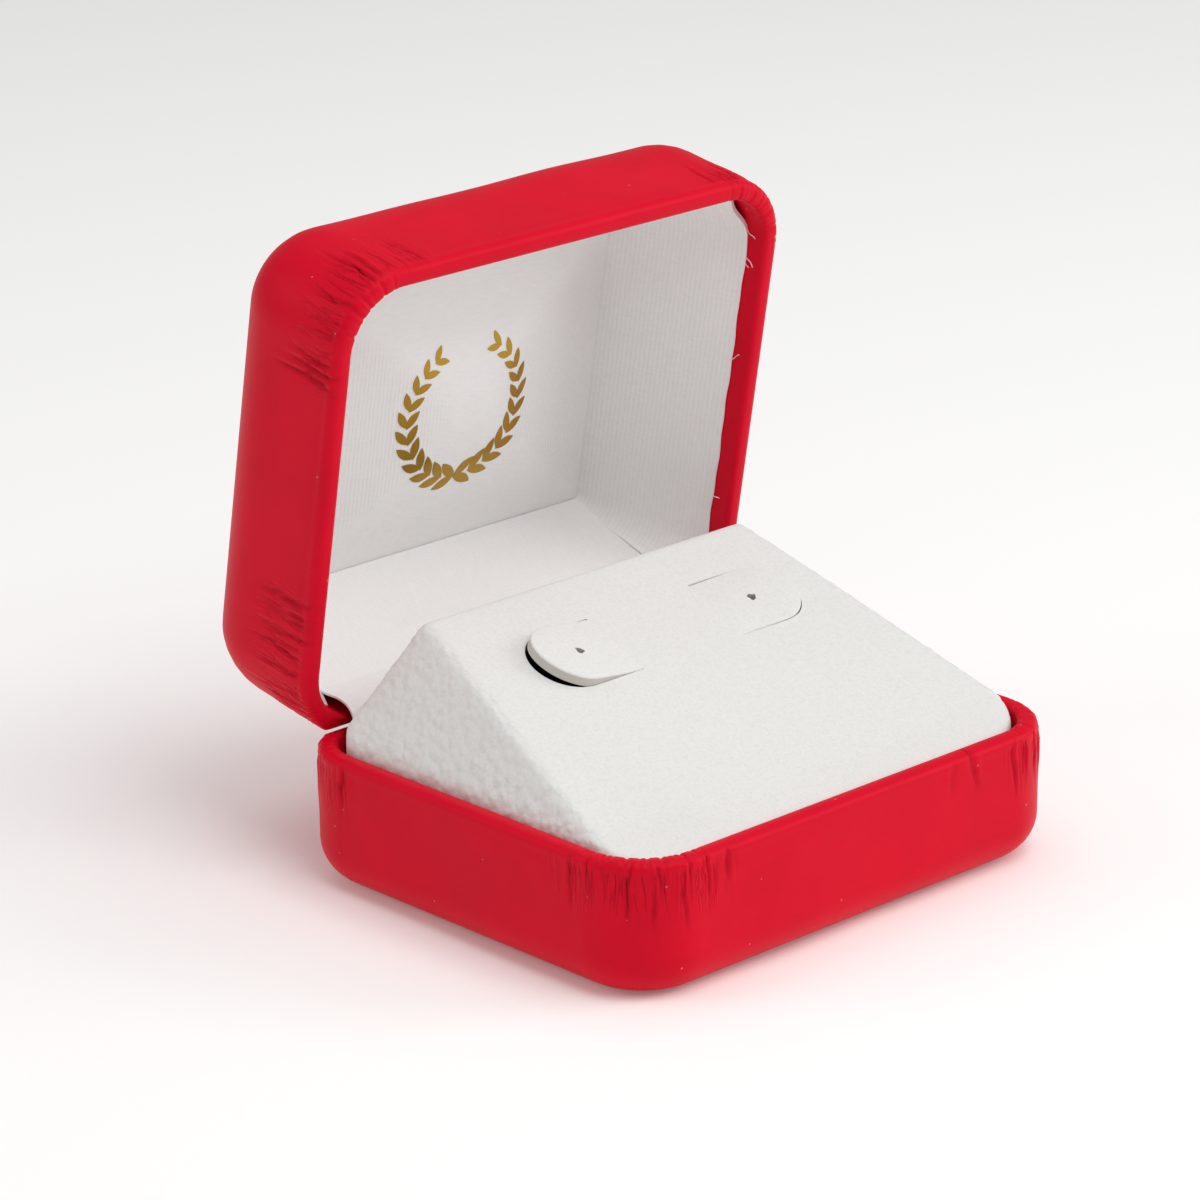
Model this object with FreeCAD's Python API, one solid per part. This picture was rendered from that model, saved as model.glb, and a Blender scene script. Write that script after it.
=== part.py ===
import FreeCAD, Part
import math
import os

# A hinged jewellery box: two stamped steel trays wrapped in leatherette, a three-knuckle
# hinge with a snap spring, a wedge insert with two die-cut flaps and a puffed satin lining.
# Frame: X across the width, -Y to the front, the hinge at +Y, Z up.
# The origin is the middle of the standing face. Lengths are in millimetres, angles in degrees.
# Lid pieces are drawn with the lid closed and then swung open about the hinge.

Vector = FreeCAD.Vector

# --- the closed case ---
CASE_WIDTH = 60.3
CASE_DEPTH = 50.8
BASE_HEIGHT = 14.3
LID_HEIGHT = 17.8
RIM_GAP = 0.3
CORNER_RADIUS = 8.2
BASE_EDGE_RADIUS = 4.4
LID_EDGE_RADIUS = 7.8
RIM_ROUND = 1.4
EDGE_MARGIN = 0.35

# --- layers of the walls ---
COVER = 0.75
STEEL = 0.6
TURN_IN_DEPTH = 7.0
FIT = 0.05

# --- hinge ---
HINGE_FROM_BACK = 1.9
HINGE_ABOVE_RIM = 1.0
OPEN_ANGLE = 80.0
BASE_BACK_ROUND = 2.4
LID_BACK_ROUND = 3.4
PIN_DIAMETER = 1.0
PIN_CLEARANCE = 0.04
BARREL_RADIUS = 1.1
BARREL_RELIEF = 0.25
HINGE_HALF = 19.0
CENTRE_KNUCKLE_HALF = 5.8
KNUCKLE_GAP = 0.2
LEAF = 0.5
LEAF_SHORT_OF_ROUND = 1.55
RIVET_SHANK_RADIUS = 0.8
RIVET_HEAD_RADIUS = 1.4
RIVET_HEAD = 0.4
RIVET_SPREAD = 12.5
RIVET_FROM_LEAF_EDGE = 2.85

# --- snap spring ---
SPRING = 0.4
SPRING_HALF_WIDTH = 4.5
SPRING_FOOT = 4.5
SPRING_TOP_BELOW_AXIS = 1.25
SPRING_CLEARANCE = 0.15

# --- insert ---
INSERT_SIDE_GAP = 0.45
INSERT_FRONT_GAP = 0.7
INSERT_BACK_GAP = 2.9
INSERT_CORNER_GAP = 0.1
INSERT_BACK_CORNER = 3.0
RIDGE_HEIGHT = 27.6
RIDGE_FROM_BACK = 6.9
RIDGE_HALF = 22.0
FRONT_EDGE_BELOW_RIM = 0.9
FOOT_ABOVE_RIM = 0.7
CARD = 0.5
SKIN = 0.6
BASE_CARD_CLEARANCE = 0.3

# --- flaps of the insert ---
HOLE_SPACING = 24.2
HOLE_FROM_RIDGE = 10.0
FLAP_PAIR_SHIFT = 1.6
HOLE_DIAMETER = 1.1
FLAP_RADIUS = 4.3
FLAP_TIP_BEYOND_HOLE = 5.5
FLAP_ROOT_BEFORE_HOLE = 5.1
SLIT = 0.15
ROOT_GAP = 0.1
POCKET_DEPTH = 8.5
POCKET_LEDGE = 0.3
LEFT_FLAP_LIFT = 6.5
RIGHT_FLAP_LIFT = 1.5

# --- lid lining ---
LINING_RECESS = 2.4
LINING_WALL = 0.5
LINING_GAP = 0.12
PANEL_HALF_X = 21.3
PANEL_HALF_Y = 17.0
PANEL_CORNER = 2.0
PUFF_RISE = 3.7
PUFF_MARGIN = 0.2
PUFF_TOP_HALF = 9.6
SATIN = 0.3
HINGE_WALL_HALF = 24.3
STRIP_GAP = 0.1

# --- satin strip over the hinge ---
STRIP = 0.3
STRIP_RADIUS = 2.1
STRIP_FOOT_BELOW_RIM = 6.0
STRIP_END_ANGLE = 52.0

# --- gold foil ornament ---
FOIL = 0.1
WREATH_RADIUS = 7.6
LEAVES_PER_SIDE = 8
LEAF_LENGTH = 3.0
LEAF_WIDTH = 1.1
LEAF_TILT = 28.0
WREATH_OPENING = 32.0
WREATH_FOOT = 12.0

# --- worked out from the sizes above ---
WALL = 2 * COVER + STEEL
TRAY_WALL = COVER + STEEL
LID_RIM = BASE_HEIGHT + RIM_GAP
CASE_HEIGHT = LID_RIM + LID_HEIGHT
BACK = CASE_DEPTH / 2
HALF_WIDTH = CASE_WIDTH / 2
HINGE_Y = BACK - HINGE_FROM_BACK
HINGE_Z = BASE_HEIGHT + HINGE_ABOVE_RIM
LEAF_OUTER_Y = BACK - TRAY_WALL
LEAF_INNER_Y = LEAF_OUTER_Y - LEAF
RELIEF_RADIUS = BARREL_RADIUS + BARREL_RELIEF
BASE_EDGE = min(BASE_EDGE_RADIUS, CORNER_RADIUS - EDGE_MARGIN)
LID_EDGE = min(LID_EDGE_RADIUS, CORNER_RADIUS - EDGE_MARGIN)
BASE_LEAF_EDGE = BASE_EDGE + LEAF_SHORT_OF_ROUND
LID_LEAF_EDGE = CASE_HEIGHT - LID_EDGE - LEAF_SHORT_OF_ROUND
FLOOR_ROUND = BASE_EDGE - TRAY_WALL
INSERT_HALF = HALF_WIDTH - WALL - INSERT_SIDE_GAP
INSERT_FRONT = -(BACK - WALL - INSERT_FRONT_GAP)
INSERT_BACK = BACK - WALL - INSERT_BACK_GAP
INSERT_FRONT_CORNER = CORNER_RADIUS - WALL - INSERT_CORNER_GAP
RIDGE_Y = INSERT_BACK - RIDGE_FROM_BACK
HOLE_Y = RIDGE_Y - HOLE_FROM_RIDGE
INSERT_FLOOR = TRAY_WALL
FLOOR_REACH = max(0.0, FLOOR_ROUND - (HALF_WIDTH - TRAY_WALL - INSERT_HALF))
BASE_CARD = FLOOR_ROUND - math.sqrt(FLOOR_ROUND ** 2 - FLOOR_REACH ** 2) + BASE_CARD_CLEARANCE
INSERT_BOTTOM = INSERT_FLOOR + BASE_CARD
FRONT_EDGE_Z = BASE_HEIGHT - FRONT_EDGE_BELOW_RIM
FOOT_Z = BASE_HEIGHT + FOOT_ABOVE_RIM
SLOPE = math.atan2(RIDGE_HEIGHT - FRONT_EDGE_Z, RIDGE_Y - INSERT_FRONT)
FLAP = SKIN + CARD
PANEL_TOP = CASE_HEIGHT - TRAY_WALL
PANEL_FACE = PANEL_TOP - CARD
LINING_EDGE_Z = LID_RIM + LINING_RECESS
LINING_CORNER = CORNER_RADIUS - WALL - LINING_GAP
X_AXIS = Vector(1, 0, 0)
Y_AXIS = Vector(0, 1, 0)
HINGE_POINT = Vector(0, HINGE_Y, HINGE_Z)


def edges_at(shape, height):
    """Edges of a shape that lie flat at one height."""
    tolerance = 1e-5
    return [edge for edge in shape.Edges
            if abs(edge.BoundBox.ZMin - height) < tolerance
            and abs(edge.BoundBox.ZMax - height) < tolerance]


def upright_edges(shape):
    """Edges of a box that run straight up."""
    return [edge for edge in shape.Edges
            if edge.BoundBox.ZLength > max(edge.BoundBox.XLength, edge.BoundBox.YLength)]


def box_between(low, high):
    """A plain block between two corners."""
    return Part.makeBox(high[0] - low[0], high[1] - low[1], high[2] - low[2], Vector(*low))


def case_block(inset, low, high):
    """A block with the plan of the case, inset all round, between two heights."""
    block = box_between((inset - HALF_WIDTH, inset - BACK, low), (HALF_WIDTH - inset, BACK - inset, high))
    return block.makeFillet(CORNER_RADIUS - inset, upright_edges(block))


def base_block(inset, high):
    """The outside of the base, inset by some layers, with its rounded bottom edge."""
    block = case_block(inset, inset, high)
    return block.makeFillet(BASE_EDGE - inset, edges_at(block, inset))


def lid_block(inset, low):
    """The outside of the closed lid, inset by some layers, with its rounded top edge."""
    top = CASE_HEIGHT - inset
    block = case_block(inset, low, top)
    return block.makeFillet(LID_EDGE - inset, edges_at(block, top))


def prism_along_x(outline, half_length):
    """A prism along X from a closed outline of (y, z) points."""
    points = [Vector(-half_length, y, z) for y, z in outline]
    face = Part.Face(Part.makePolygon(points + points[:1]))
    return face.extrude(Vector(2 * half_length, 0, 0))


def prism_along_y(outline, low, high):
    """A prism along Y from a closed outline of (x, z) points."""
    points = [Vector(x, low, z) for x, z in outline]
    face = Part.Face(Part.makePolygon(points + points[:1]))
    return face.extrude(Vector(0, high - low, 0))


def rod_along_x(radius, start, end):
    """A rod on the hinge axis."""
    return Part.makeCylinder(radius, end - start, Vector(start, HINGE_Y, HINGE_Z), X_AXIS)


def rounding_tool(radius, centre_y, centre_z, corner_z):
    """What a rounded back rim loses: the corner outside a quarter round that runs along X."""
    reach = BACK + 1.0
    corner = box_between((-HALF_WIDTH, centre_y, min(centre_z, corner_z)),
                         (HALF_WIDTH, reach, max(centre_z, corner_z)))
    round_bar = Part.makeCylinder(radius, CASE_WIDTH, Vector(-HALF_WIDTH, centre_y, centre_z), X_AXIS)
    return corner.cut(round_bar)


def base_rounding(inset):
    """The rounding of the base's back rim, for the surface that lies inset from the outside."""
    centre_y = BACK - BASE_BACK_ROUND
    centre_z = BASE_HEIGHT - BASE_BACK_ROUND
    return rounding_tool(BASE_BACK_ROUND - inset, centre_y, centre_z, BASE_HEIGHT + 1.0)


def lid_rounding(inset):
    """The rounding of the lid's back rim, for the surface that lies inset from the outside."""
    centre_y = BACK - LID_BACK_ROUND
    centre_z = LID_RIM + LID_BACK_ROUND
    return rounding_tool(LID_BACK_ROUND - inset, centre_y, centre_z, LID_RIM - 1.0)


def leaf_recess(low, high):
    """The space on the inside of the back wall that the hinge leaves take from the turn-in."""
    half = HINGE_HALF + KNUCKLE_GAP
    return box_between((-half, LEAF_OUTER_Y - 2 * COVER, low), (half, LEAF_OUTER_Y, high))


def knuckle_recess():
    """The round groove in both back rims that the hinge barrels turn in."""
    half = HINGE_HALF + KNUCKLE_GAP
    return rod_along_x(RELIEF_RADIUS, -half, half)


def rivet_holes(places):
    """Holes in a tray's back wall for the rivet shanks."""
    holes = [Part.makeCylinder(RIVET_SHANK_RADIUS + FIT, 2 * WALL, Vector(x, LEAF_INNER_Y - WALL, z), Y_AXIS)
             for x, z in places]
    return Part.makeCompound(holes)


def base_rivet_places():
    """Rivet positions (x, z) of the base leaf; the middle one also holds the spring."""
    z = BASE_LEAF_EDGE + RIVET_FROM_LEAF_EDGE
    return [(-RIVET_SPREAD, z), (0, z), (RIVET_SPREAD, z)]


def lid_rivet_places():
    """Rivet positions (x, z) of the lid leaf, with the lid closed."""
    z = LID_LEAF_EDGE - RIVET_FROM_LEAF_EDGE
    return [(-RIVET_SPREAD, z), (RIVET_SPREAD, z)]


def swing_open(shape):
    """Turns a piece of the closed lid to the open position."""
    opened = shape.copy()
    opened.rotate(HINGE_POINT, X_AXIS, -OPEN_ANGLE)
    return opened


# --- base ---

def base_steel_outer():
    """The outside of the steel tray of the base."""
    return base_block(COVER, BASE_HEIGHT - COVER).cut(base_rounding(COVER))


def base_cavity(turn_in_bottom):
    """The room inside the base: wide below the turn-in, narrower inside it."""
    wide = base_block(TRAY_WALL, turn_in_bottom)
    narrow = case_block(WALL, turn_in_bottom - 1.0, BASE_HEIGHT + 1.0)
    return wide.fuse(narrow)


def base_shell():
    """Stamped steel tray."""
    tray = base_steel_outer().cut(base_block(TRAY_WALL, BASE_HEIGHT + 1.0))
    tray = tray.cut(knuckle_recess())
    return tray.cut(rivet_holes(base_rivet_places()))


def base_cover():
    """Leatherette wrapped round the base tray and turned in over its rim."""
    outside = base_block(0.0, BASE_HEIGHT)
    outside = outside.makeFillet(RIM_ROUND, edges_at(outside, BASE_HEIGHT)).cut(base_rounding(0.0))
    tray = base_steel_outer().cut(base_block(TRAY_WALL, BASE_HEIGHT - COVER))
    cover = outside.cut(tray).cut(base_cavity(BASE_HEIGHT - TURN_IN_DEPTH))
    cover = cover.cut(leaf_recess(TRAY_WALL, BASE_HEIGHT + 1.0))
    return cover.cut(knuckle_recess())


# --- lid, closed ---

def lid_steel_outer():
    """The outside of the steel tray of the lid."""
    return lid_block(COVER, LID_RIM + COVER).cut(lid_rounding(COVER))


def lid_cavity(turn_in_top):
    """The room inside the lid: narrower inside the turn-in, wide above it."""
    wide = lid_block(TRAY_WALL, turn_in_top)
    narrow = case_block(WALL, LID_RIM - 1.0, turn_in_top + 1.0)
    return wide.fuse(narrow)


def lid_shell():
    """Stamped steel tray of the lid."""
    tray = lid_steel_outer().cut(lid_block(TRAY_WALL, LID_RIM - 1.0))
    tray = tray.cut(knuckle_recess())
    return tray.cut(rivet_holes(lid_rivet_places()))


def lid_cover():
    """Leatherette wrapped round the lid tray and turned in over its rim."""
    outside = lid_block(0.0, LID_RIM)
    outside = outside.makeFillet(RIM_ROUND, edges_at(outside, LID_RIM)).cut(lid_rounding(0.0))
    tray = lid_steel_outer().cut(lid_block(TRAY_WALL, LID_RIM + COVER))
    cover = outside.cut(tray).cut(lid_cavity(LID_RIM + TURN_IN_DEPTH))
    cover = cover.cut(leaf_recess(LID_RIM - 1.0, CASE_HEIGHT - LID_EDGE))
    return cover.cut(knuckle_recess())


# --- hinge ---

def barrel(start, end):
    """One hinge knuckle, solid."""
    return rod_along_x(BARREL_RADIUS, start, end)


def pin_bore():
    """The running bore for the hinge pin."""
    return rod_along_x(PIN_DIAMETER / 2 + PIN_CLEARANCE, -HINGE_HALF - 1.0, HINGE_HALF + 1.0)


def leaf_plate(half, low, high):
    """A flat plate against the inside of the back wall."""
    return box_between((-half, LEAF_INNER_Y, low), (half, LEAF_OUTER_Y, high))


def hinge_leaf_base():
    """Leaf riveted into the base, with the two outer knuckles."""
    inner = CENTRE_KNUCKLE_HALF + KNUCKLE_GAP
    leaf = leaf_plate(HINGE_HALF, BASE_LEAF_EDGE, HINGE_Z - RELIEF_RADIUS)
    for start, end in ((-HINGE_HALF, -inner), (inner, HINGE_HALF)):
        neck = box_between((start, LEAF_INNER_Y, HINGE_Z - RELIEF_RADIUS), (end, LEAF_OUTER_Y, HINGE_Z))
        leaf = leaf.fuse([neck, barrel(start, end)])
    leaf = leaf.cut(pin_bore()).removeSplitter()
    return leaf.cut(rivet_holes(base_rivet_places()))


def hinge_leaf_lid():
    """Leaf riveted into the lid, with the middle knuckle."""
    half = CENTRE_KNUCKLE_HALF
    leaf = leaf_plate(HINGE_HALF, HINGE_Z + RELIEF_RADIUS, LID_LEAF_EDGE)
    neck = leaf_plate(half, HINGE_Z, HINGE_Z + RELIEF_RADIUS)
    leaf = leaf.fuse([neck, barrel(-half, half)])
    leaf = leaf.cut(pin_bore()).removeSplitter()
    return leaf.cut(rivet_holes(lid_rivet_places()))


def hinge_pin():
    """Straight pin through all three knuckles."""
    return rod_along_x(PIN_DIAMETER / 2, -HINGE_HALF, HINGE_HALF)


def rivet(x, z, seat_y):
    """A rivet whose head sits at seat_y and whose tail is flush with the steel."""
    tail_y = BACK - COVER
    shank = Part.makeCylinder(RIVET_SHANK_RADIUS, tail_y - seat_y, Vector(x, seat_y, z), Y_AXIS)
    head = Part.makeCylinder(RIVET_HEAD_RADIUS, RIVET_HEAD, Vector(x, seat_y - RIVET_HEAD, z), Y_AXIS)
    return shank.fuse(head).removeSplitter()


def hinge_rivets_base():
    """Two leaf rivets and the spring rivet, as separate solids."""
    rivets = []
    for x, z in base_rivet_places():
        seat_y = LEAF_INNER_Y - SPRING if x == 0 else LEAF_INNER_Y
        rivets.append(rivet(x, z, seat_y))
    return Part.makeCompound(rivets)


def hinge_rivets_lid():
    """Two leaf rivets of the lid, as separate solids."""
    return Part.makeCompound([rivet(x, z, LEAF_INNER_Y) for x, z in lid_rivet_places()])


def snap_spring():
    """Leaf spring from the base leaf up to the middle knuckle."""
    foot_z = BASE_LEAF_EDGE + RIVET_FROM_LEAF_EDGE - SPRING_FOOT / 2
    bend_z = foot_z + SPRING_FOOT
    top_z = HINGE_Z - SPRING_TOP_BELOW_AXIS
    tip_y = HINGE_Y - BARREL_RADIUS - SPRING_CLEARANCE
    tip_z = HINGE_Z + SPRING_CLEARANCE
    outline = [(LEAF_INNER_Y, foot_z), (LEAF_INNER_Y, bend_z), (tip_y, top_z), (tip_y, tip_z),
               (tip_y - SPRING, tip_z), (tip_y - SPRING, top_z),
               (LEAF_INNER_Y - SPRING, bend_z), (LEAF_INNER_Y - SPRING, foot_z)]
    return prism_along_x(outline, SPRING_HALF_WIDTH).cut(rivet_holes(base_rivet_places()))


# --- insert ---

def inset_outline(outline, distance):
    """Moves every side of a convex, anticlockwise outline inwards by a distance."""
    count = len(outline)
    lines = []
    for (x1, y1), (x2, y2) in zip(outline, outline[1:] + outline[:1]):
        length = math.hypot(x2 - x1, y2 - y1)
        normal = (-(y2 - y1) / length, (x2 - x1) / length)
        lines.append((normal, normal[0] * x1 + normal[1] * y1 + distance))
    corners = []
    for index in range(count):
        (a1, b1), c1 = lines[index - 1]
        (a2, b2), c2 = lines[index]
        scale = a1 * b2 - a2 * b1
        corners.append(((c1 * b2 - c2 * b1) / scale, (a1 * c2 - a2 * c1) / scale))
    return corners


def insert_plan(inset, low, high):
    """A block with the plan of the insert, inset all round, between two heights."""
    block = box_between((inset - INSERT_HALF, INSERT_FRONT + inset, low),
                        (INSERT_HALF - inset, INSERT_BACK - inset, high))
    front = [edge for edge in upright_edges(block) if edge.CenterOfMass.y < 0]
    block = block.makeFillet(max(INSERT_FRONT_CORNER - inset, FIT), front)
    back = [edge for edge in upright_edges(block) if edge.CenterOfMass.y > INSERT_BACK - inset - FIT
            and abs(edge.CenterOfMass.x) > INSERT_HALF - inset - FIT]
    return block.makeFillet(max(INSERT_BACK_CORNER - inset, FIT), back)


def insert_wedge(inset):
    """The wedge of the insert, inset by some layers, standing on its base card."""
    floor = INSERT_BOTTOM - inset
    side_view = [(INSERT_FRONT, floor), (INSERT_BACK, floor), (INSERT_BACK, FOOT_Z),
                 (RIDGE_Y, RIDGE_HEIGHT), (INSERT_FRONT, FRONT_EDGE_Z)]
    front_view = [(-INSERT_HALF, floor), (INSERT_HALF, floor), (INSERT_HALF, FOOT_Z),
                  (RIDGE_HALF, RIDGE_HEIGHT), (-RIDGE_HALF, RIDGE_HEIGHT), (-INSERT_HALF, FOOT_Z)]
    wedge = insert_plan(inset, INSERT_BOTTOM, RIDGE_HEIGHT)
    wedge = wedge.common(prism_along_x(inset_outline(side_view, inset), HALF_WIDTH))
    return wedge.common(prism_along_y(inset_outline(front_view, inset), -BACK, BACK))


def slope_normal():
    """Outward normal of the insert's front slope."""
    return Vector(0, -math.sin(SLOPE), math.cos(SLOPE))


def slope_point(x, y):
    """The point of the front slope above (x, y)."""
    return Vector(x, y, RIDGE_HEIGHT - (RIDGE_Y - y) * math.tan(SLOPE))


def hole_place(side):
    """Where a flap's pin hole meets the slope; side is -1 or 1."""
    return slope_point(FLAP_PAIR_SHIFT + side * HOLE_SPACING / 2, HOLE_Y)


def slope_slab(top, bottom):
    """Everything between two depths under the front slope."""
    upper = slope_point(0, RIDGE_Y) - slope_normal() * top
    slab = Part.makeBox(CASE_WIDTH, 2 * CASE_DEPTH, bottom - top, Vector(-HALF_WIDTH, -CASE_DEPTH, top - bottom))
    slab.rotate(Vector(0, 0, 0), X_AXIS, math.degrees(SLOPE))
    slab.translate(upper)
    return slab


def flap_block(side, grow, root_grow, top, bottom):
    """The flap's outline as a block between two depths under the slope; side is -1 or 1."""
    root = FLAP_ROOT_BEFORE_HOLE + root_grow
    centre = FLAP_TIP_BEYOND_HOLE - FLAP_RADIUS
    radius = FLAP_RADIUS + grow
    depth = bottom - top
    straight = Part.makeBox(root + centre, 2 * radius, depth, Vector(-root, -radius, -bottom))
    round_end = Part.makeCylinder(radius, depth, Vector(centre, 0, -bottom))
    block = straight.fuse(round_end).removeSplitter()
    if side < 0:
        block.rotate(Vector(0, 0, 0), Vector(0, 0, 1), 180)
    block.rotate(Vector(0, 0, 0), X_AXIS, math.degrees(SLOPE))
    block.translate(hole_place(side))
    return block


def flap_slots():
    """The two die-cut openings through the slope, as cutting tools."""
    return Part.makeCompound([flap_block(side, SLIT, ROOT_GAP, -1.0, FLAP + SLIT) for side in (-1, 1)])


def insert_cover():
    """White leatherette skin of the insert."""
    return insert_wedge(0.0).cut(insert_wedge(SKIN)).cut(flap_slots())


def insert_slope_card():
    """Stiff card under the skin of the slope, which makes the flaps spring back."""
    return insert_wedge(SKIN).common(slope_slab(SKIN, FLAP)).cut(flap_slots())


def flap_pocket(side):
    """The upright pocket under a flap, from the flap's underside down."""
    mouth = flap_block(side, -POCKET_LEDGE, -POCKET_LEDGE, FLAP, FLAP + SLIT)
    top_face = max(mouth.Faces, key=lambda face: face.Area * face.normalAt(0, 0).z)
    return top_face.extrude(Vector(0, 0, -POCKET_DEPTH))


def insert_core():
    """Foam wedge with a pocket for the earring backs under each flap."""
    core = insert_wedge(SKIN).cut(slope_slab(-1.0, FLAP))
    pockets = Part.makeCompound([flap_pocket(side) for side in (-1, 1)])
    return core.cut(flap_slots()).cut(pockets)


def insert_base_card():
    """Card that the insert stands on, inside the rounded edge of the tray's floor."""
    inset = FLOOR_ROUND - (HALF_WIDTH - TRAY_WALL - INSERT_HALF) + BASE_CARD_CLEARANCE
    return insert_plan(inset, INSERT_FLOOR, INSERT_BOTTOM)


def flap(side, lift):
    """One die-cut flap with its pin hole, lifted about its root fold."""
    fold = hole_place(side) - X_AXIS * side * FLAP_ROOT_BEFORE_HOLE
    hole = Part.makeCylinder(HOLE_DIAMETER / 2, 3 * FLAP, Vector(0, 0, -2 * FLAP))
    hole.rotate(Vector(0, 0, 0), X_AXIS, math.degrees(SLOPE))
    hole.translate(hole_place(side))
    piece = flap_block(side, 0.0, 0.0, 0.0, FLAP).cut(hole)
    fold_line = Vector(0, math.cos(SLOPE), math.sin(SLOPE))
    piece.rotate(fold, fold_line, -side * lift)
    return piece


# --- lid lining, closed ---

def rounded_outline(half_x, half_y, radius, height):
    """A rounded rectangle as a wire, centred on the Z axis."""
    corners = ((1, 1, 0), (-1, 1, 90), (-1, -1, 180), (1, -1, 270))
    arcs = []
    for sign_x, sign_y, start in corners:
        centre = Vector(sign_x * (half_x - radius), sign_y * (half_y - radius), height)
        circle = Part.Circle(centre, Vector(0, 0, 1), radius)
        arcs.append(Part.Arc(circle, math.radians(start), math.radians(start + 90)).toShape())
    edges = []
    for index, arc in enumerate(arcs):
        following = arcs[(index + 1) % len(arcs)]
        edges.append(arc)
        edges.append(Part.makeLine(arc.Vertexes[-1].Point, following.Vertexes[0].Point))
    return Part.Wire(edges)


def lining_frustum(inset):
    """The room inside the lining walls, from the lining's edge up to the panel card."""
    low = rounded_outline(HALF_WIDTH - WALL - LINING_GAP - inset, BACK - WALL - LINING_GAP - inset,
                          LINING_CORNER - inset, LINING_EDGE_Z)
    high = rounded_outline(PANEL_HALF_X - inset, PANEL_HALF_Y - inset, PANEL_CORNER - inset, PANEL_FACE)
    return Part.makeLoft([low, high], True, True)


def lining_walls():
    """All four sloping walls of the lining in one piece, before they are parted."""
    return lining_frustum(0.0).cut(lining_frustum(LINING_WALL))


def hinge_wall_region(grow):
    """The part of the lining that lies along the hinge."""
    half = HINGE_WALL_HALF + grow
    return box_between((-half, 0, LINING_EDGE_Z - 1.0), (half, BACK, CASE_HEIGHT))


def lining_wall_band():
    """Satin-covered card that runs along the left, front and right of the lid."""
    return lining_walls().cut(hinge_wall_region(STRIP_GAP))


def lining_wall_hinge():
    """Satin-covered card along the hinge side of the lid."""
    return lining_walls().common(hinge_wall_region(0.0))


def lining_card():
    """Backing card of the puffed panel, against the top of the tray."""
    outline = rounded_outline(PANEL_HALF_X, PANEL_HALF_Y, PANEL_CORNER, PANEL_FACE)
    return Part.Face(outline).extrude(Vector(0, 0, CARD))


def puff(inset):
    """The puffed panel: a low hipped shape with a flat middle, thinner by an inset."""
    edge = LINING_WALL + PUFF_MARGIN + inset
    flat = PUFF_TOP_HALF - inset
    low = rounded_outline(PANEL_HALF_X - edge, PANEL_HALF_Y - edge, PANEL_CORNER / 2, PANEL_FACE)
    high = rounded_outline(flat, flat, PANEL_CORNER / 2, PANEL_FACE - PUFF_RISE + inset)
    return Part.makeLoft([low, high], True, True)


def lining_wadding():
    """Wadding that puffs out the panel."""
    return puff(SATIN)


def lining_puff_satin():
    """Satin drawn over the wadding."""
    return puff(0.0).cut(puff(SATIN))


def wreath_leaf(angle, turn):
    """One pointed leaf of the wreath at an angle round the circle, in the foil's plane."""
    half = LEAF_LENGTH / 2
    bulge = LEAF_WIDTH / 2
    tips = (Vector(-half, 0, 0), Vector(half, 0, 0))
    edges = [Part.Arc(tips[0], Vector(0, bulge, 0), tips[1]).toShape(),
             Part.Arc(tips[1], Vector(0, -bulge, 0), tips[0]).toShape()]
    leaf = Part.Face(Part.Wire(edges)).extrude(Vector(0, 0, FOIL))
    leaf.rotate(Vector(0, 0, 0), Vector(0, 0, 1), angle + 90 + turn)
    radians = math.radians(angle)
    place = Vector(WREATH_RADIUS * math.cos(radians), WREATH_RADIUS * math.sin(radians),
                   PANEL_FACE - PUFF_RISE - FOIL)
    leaf.translate(place)
    return leaf


def foil_ornament():
    """Gold foil wreath on the middle of the puffed panel: two rows of separate leaves."""
    leaves = []
    sweep = 180.0 - WREATH_OPENING - WREATH_FOOT
    for number in range(LEAVES_PER_SIDE):
        step = WREATH_FOOT + sweep * number / (LEAVES_PER_SIDE - 1)
        tilt = LEAF_TILT if number % 2 else -LEAF_TILT
        leaves.append(wreath_leaf(90 - step, -tilt))
        leaves.append(wreath_leaf(90 + step, tilt))
    return Part.makeCompound(leaves)


# --- satin strip over the hinge ---

def hinge_cover():
    """Satin strip from behind the insert over the barrels to the lid lining, as it lies when open."""
    inner = STRIP_RADIUS - STRIP / 2
    outer = STRIP_RADIUS + STRIP / 2
    foot = BASE_HEIGHT - STRIP_FOOT_BELOW_RIM
    middle = math.radians((180.0 + STRIP_END_ANGLE) / 2)
    end = math.radians(STRIP_END_ANGLE)

    def polar(radius, angle):
        return Vector(-HINGE_WALL_HALF, HINGE_Y + radius * math.cos(angle), HINGE_Z + radius * math.sin(angle))

    inner_foot = Vector(-HINGE_WALL_HALF, HINGE_Y - inner, foot)
    outer_foot = Vector(-HINGE_WALL_HALF, HINGE_Y - outer, foot)
    edges = [Part.makeLine(inner_foot, polar(inner, math.pi)),
             Part.Arc(polar(inner, math.pi), polar(inner, middle), polar(inner, end)).toShape(),
             Part.makeLine(polar(inner, end), polar(outer, end)),
             Part.Arc(polar(outer, end), polar(outer, middle), polar(outer, math.pi)).toShape(),
             Part.makeLine(polar(outer, math.pi), outer_foot),
             Part.makeLine(outer_foot, inner_foot)]
    return Part.Face(Part.Wire(edges)).extrude(Vector(2 * HINGE_WALL_HALF, 0, 0))


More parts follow.
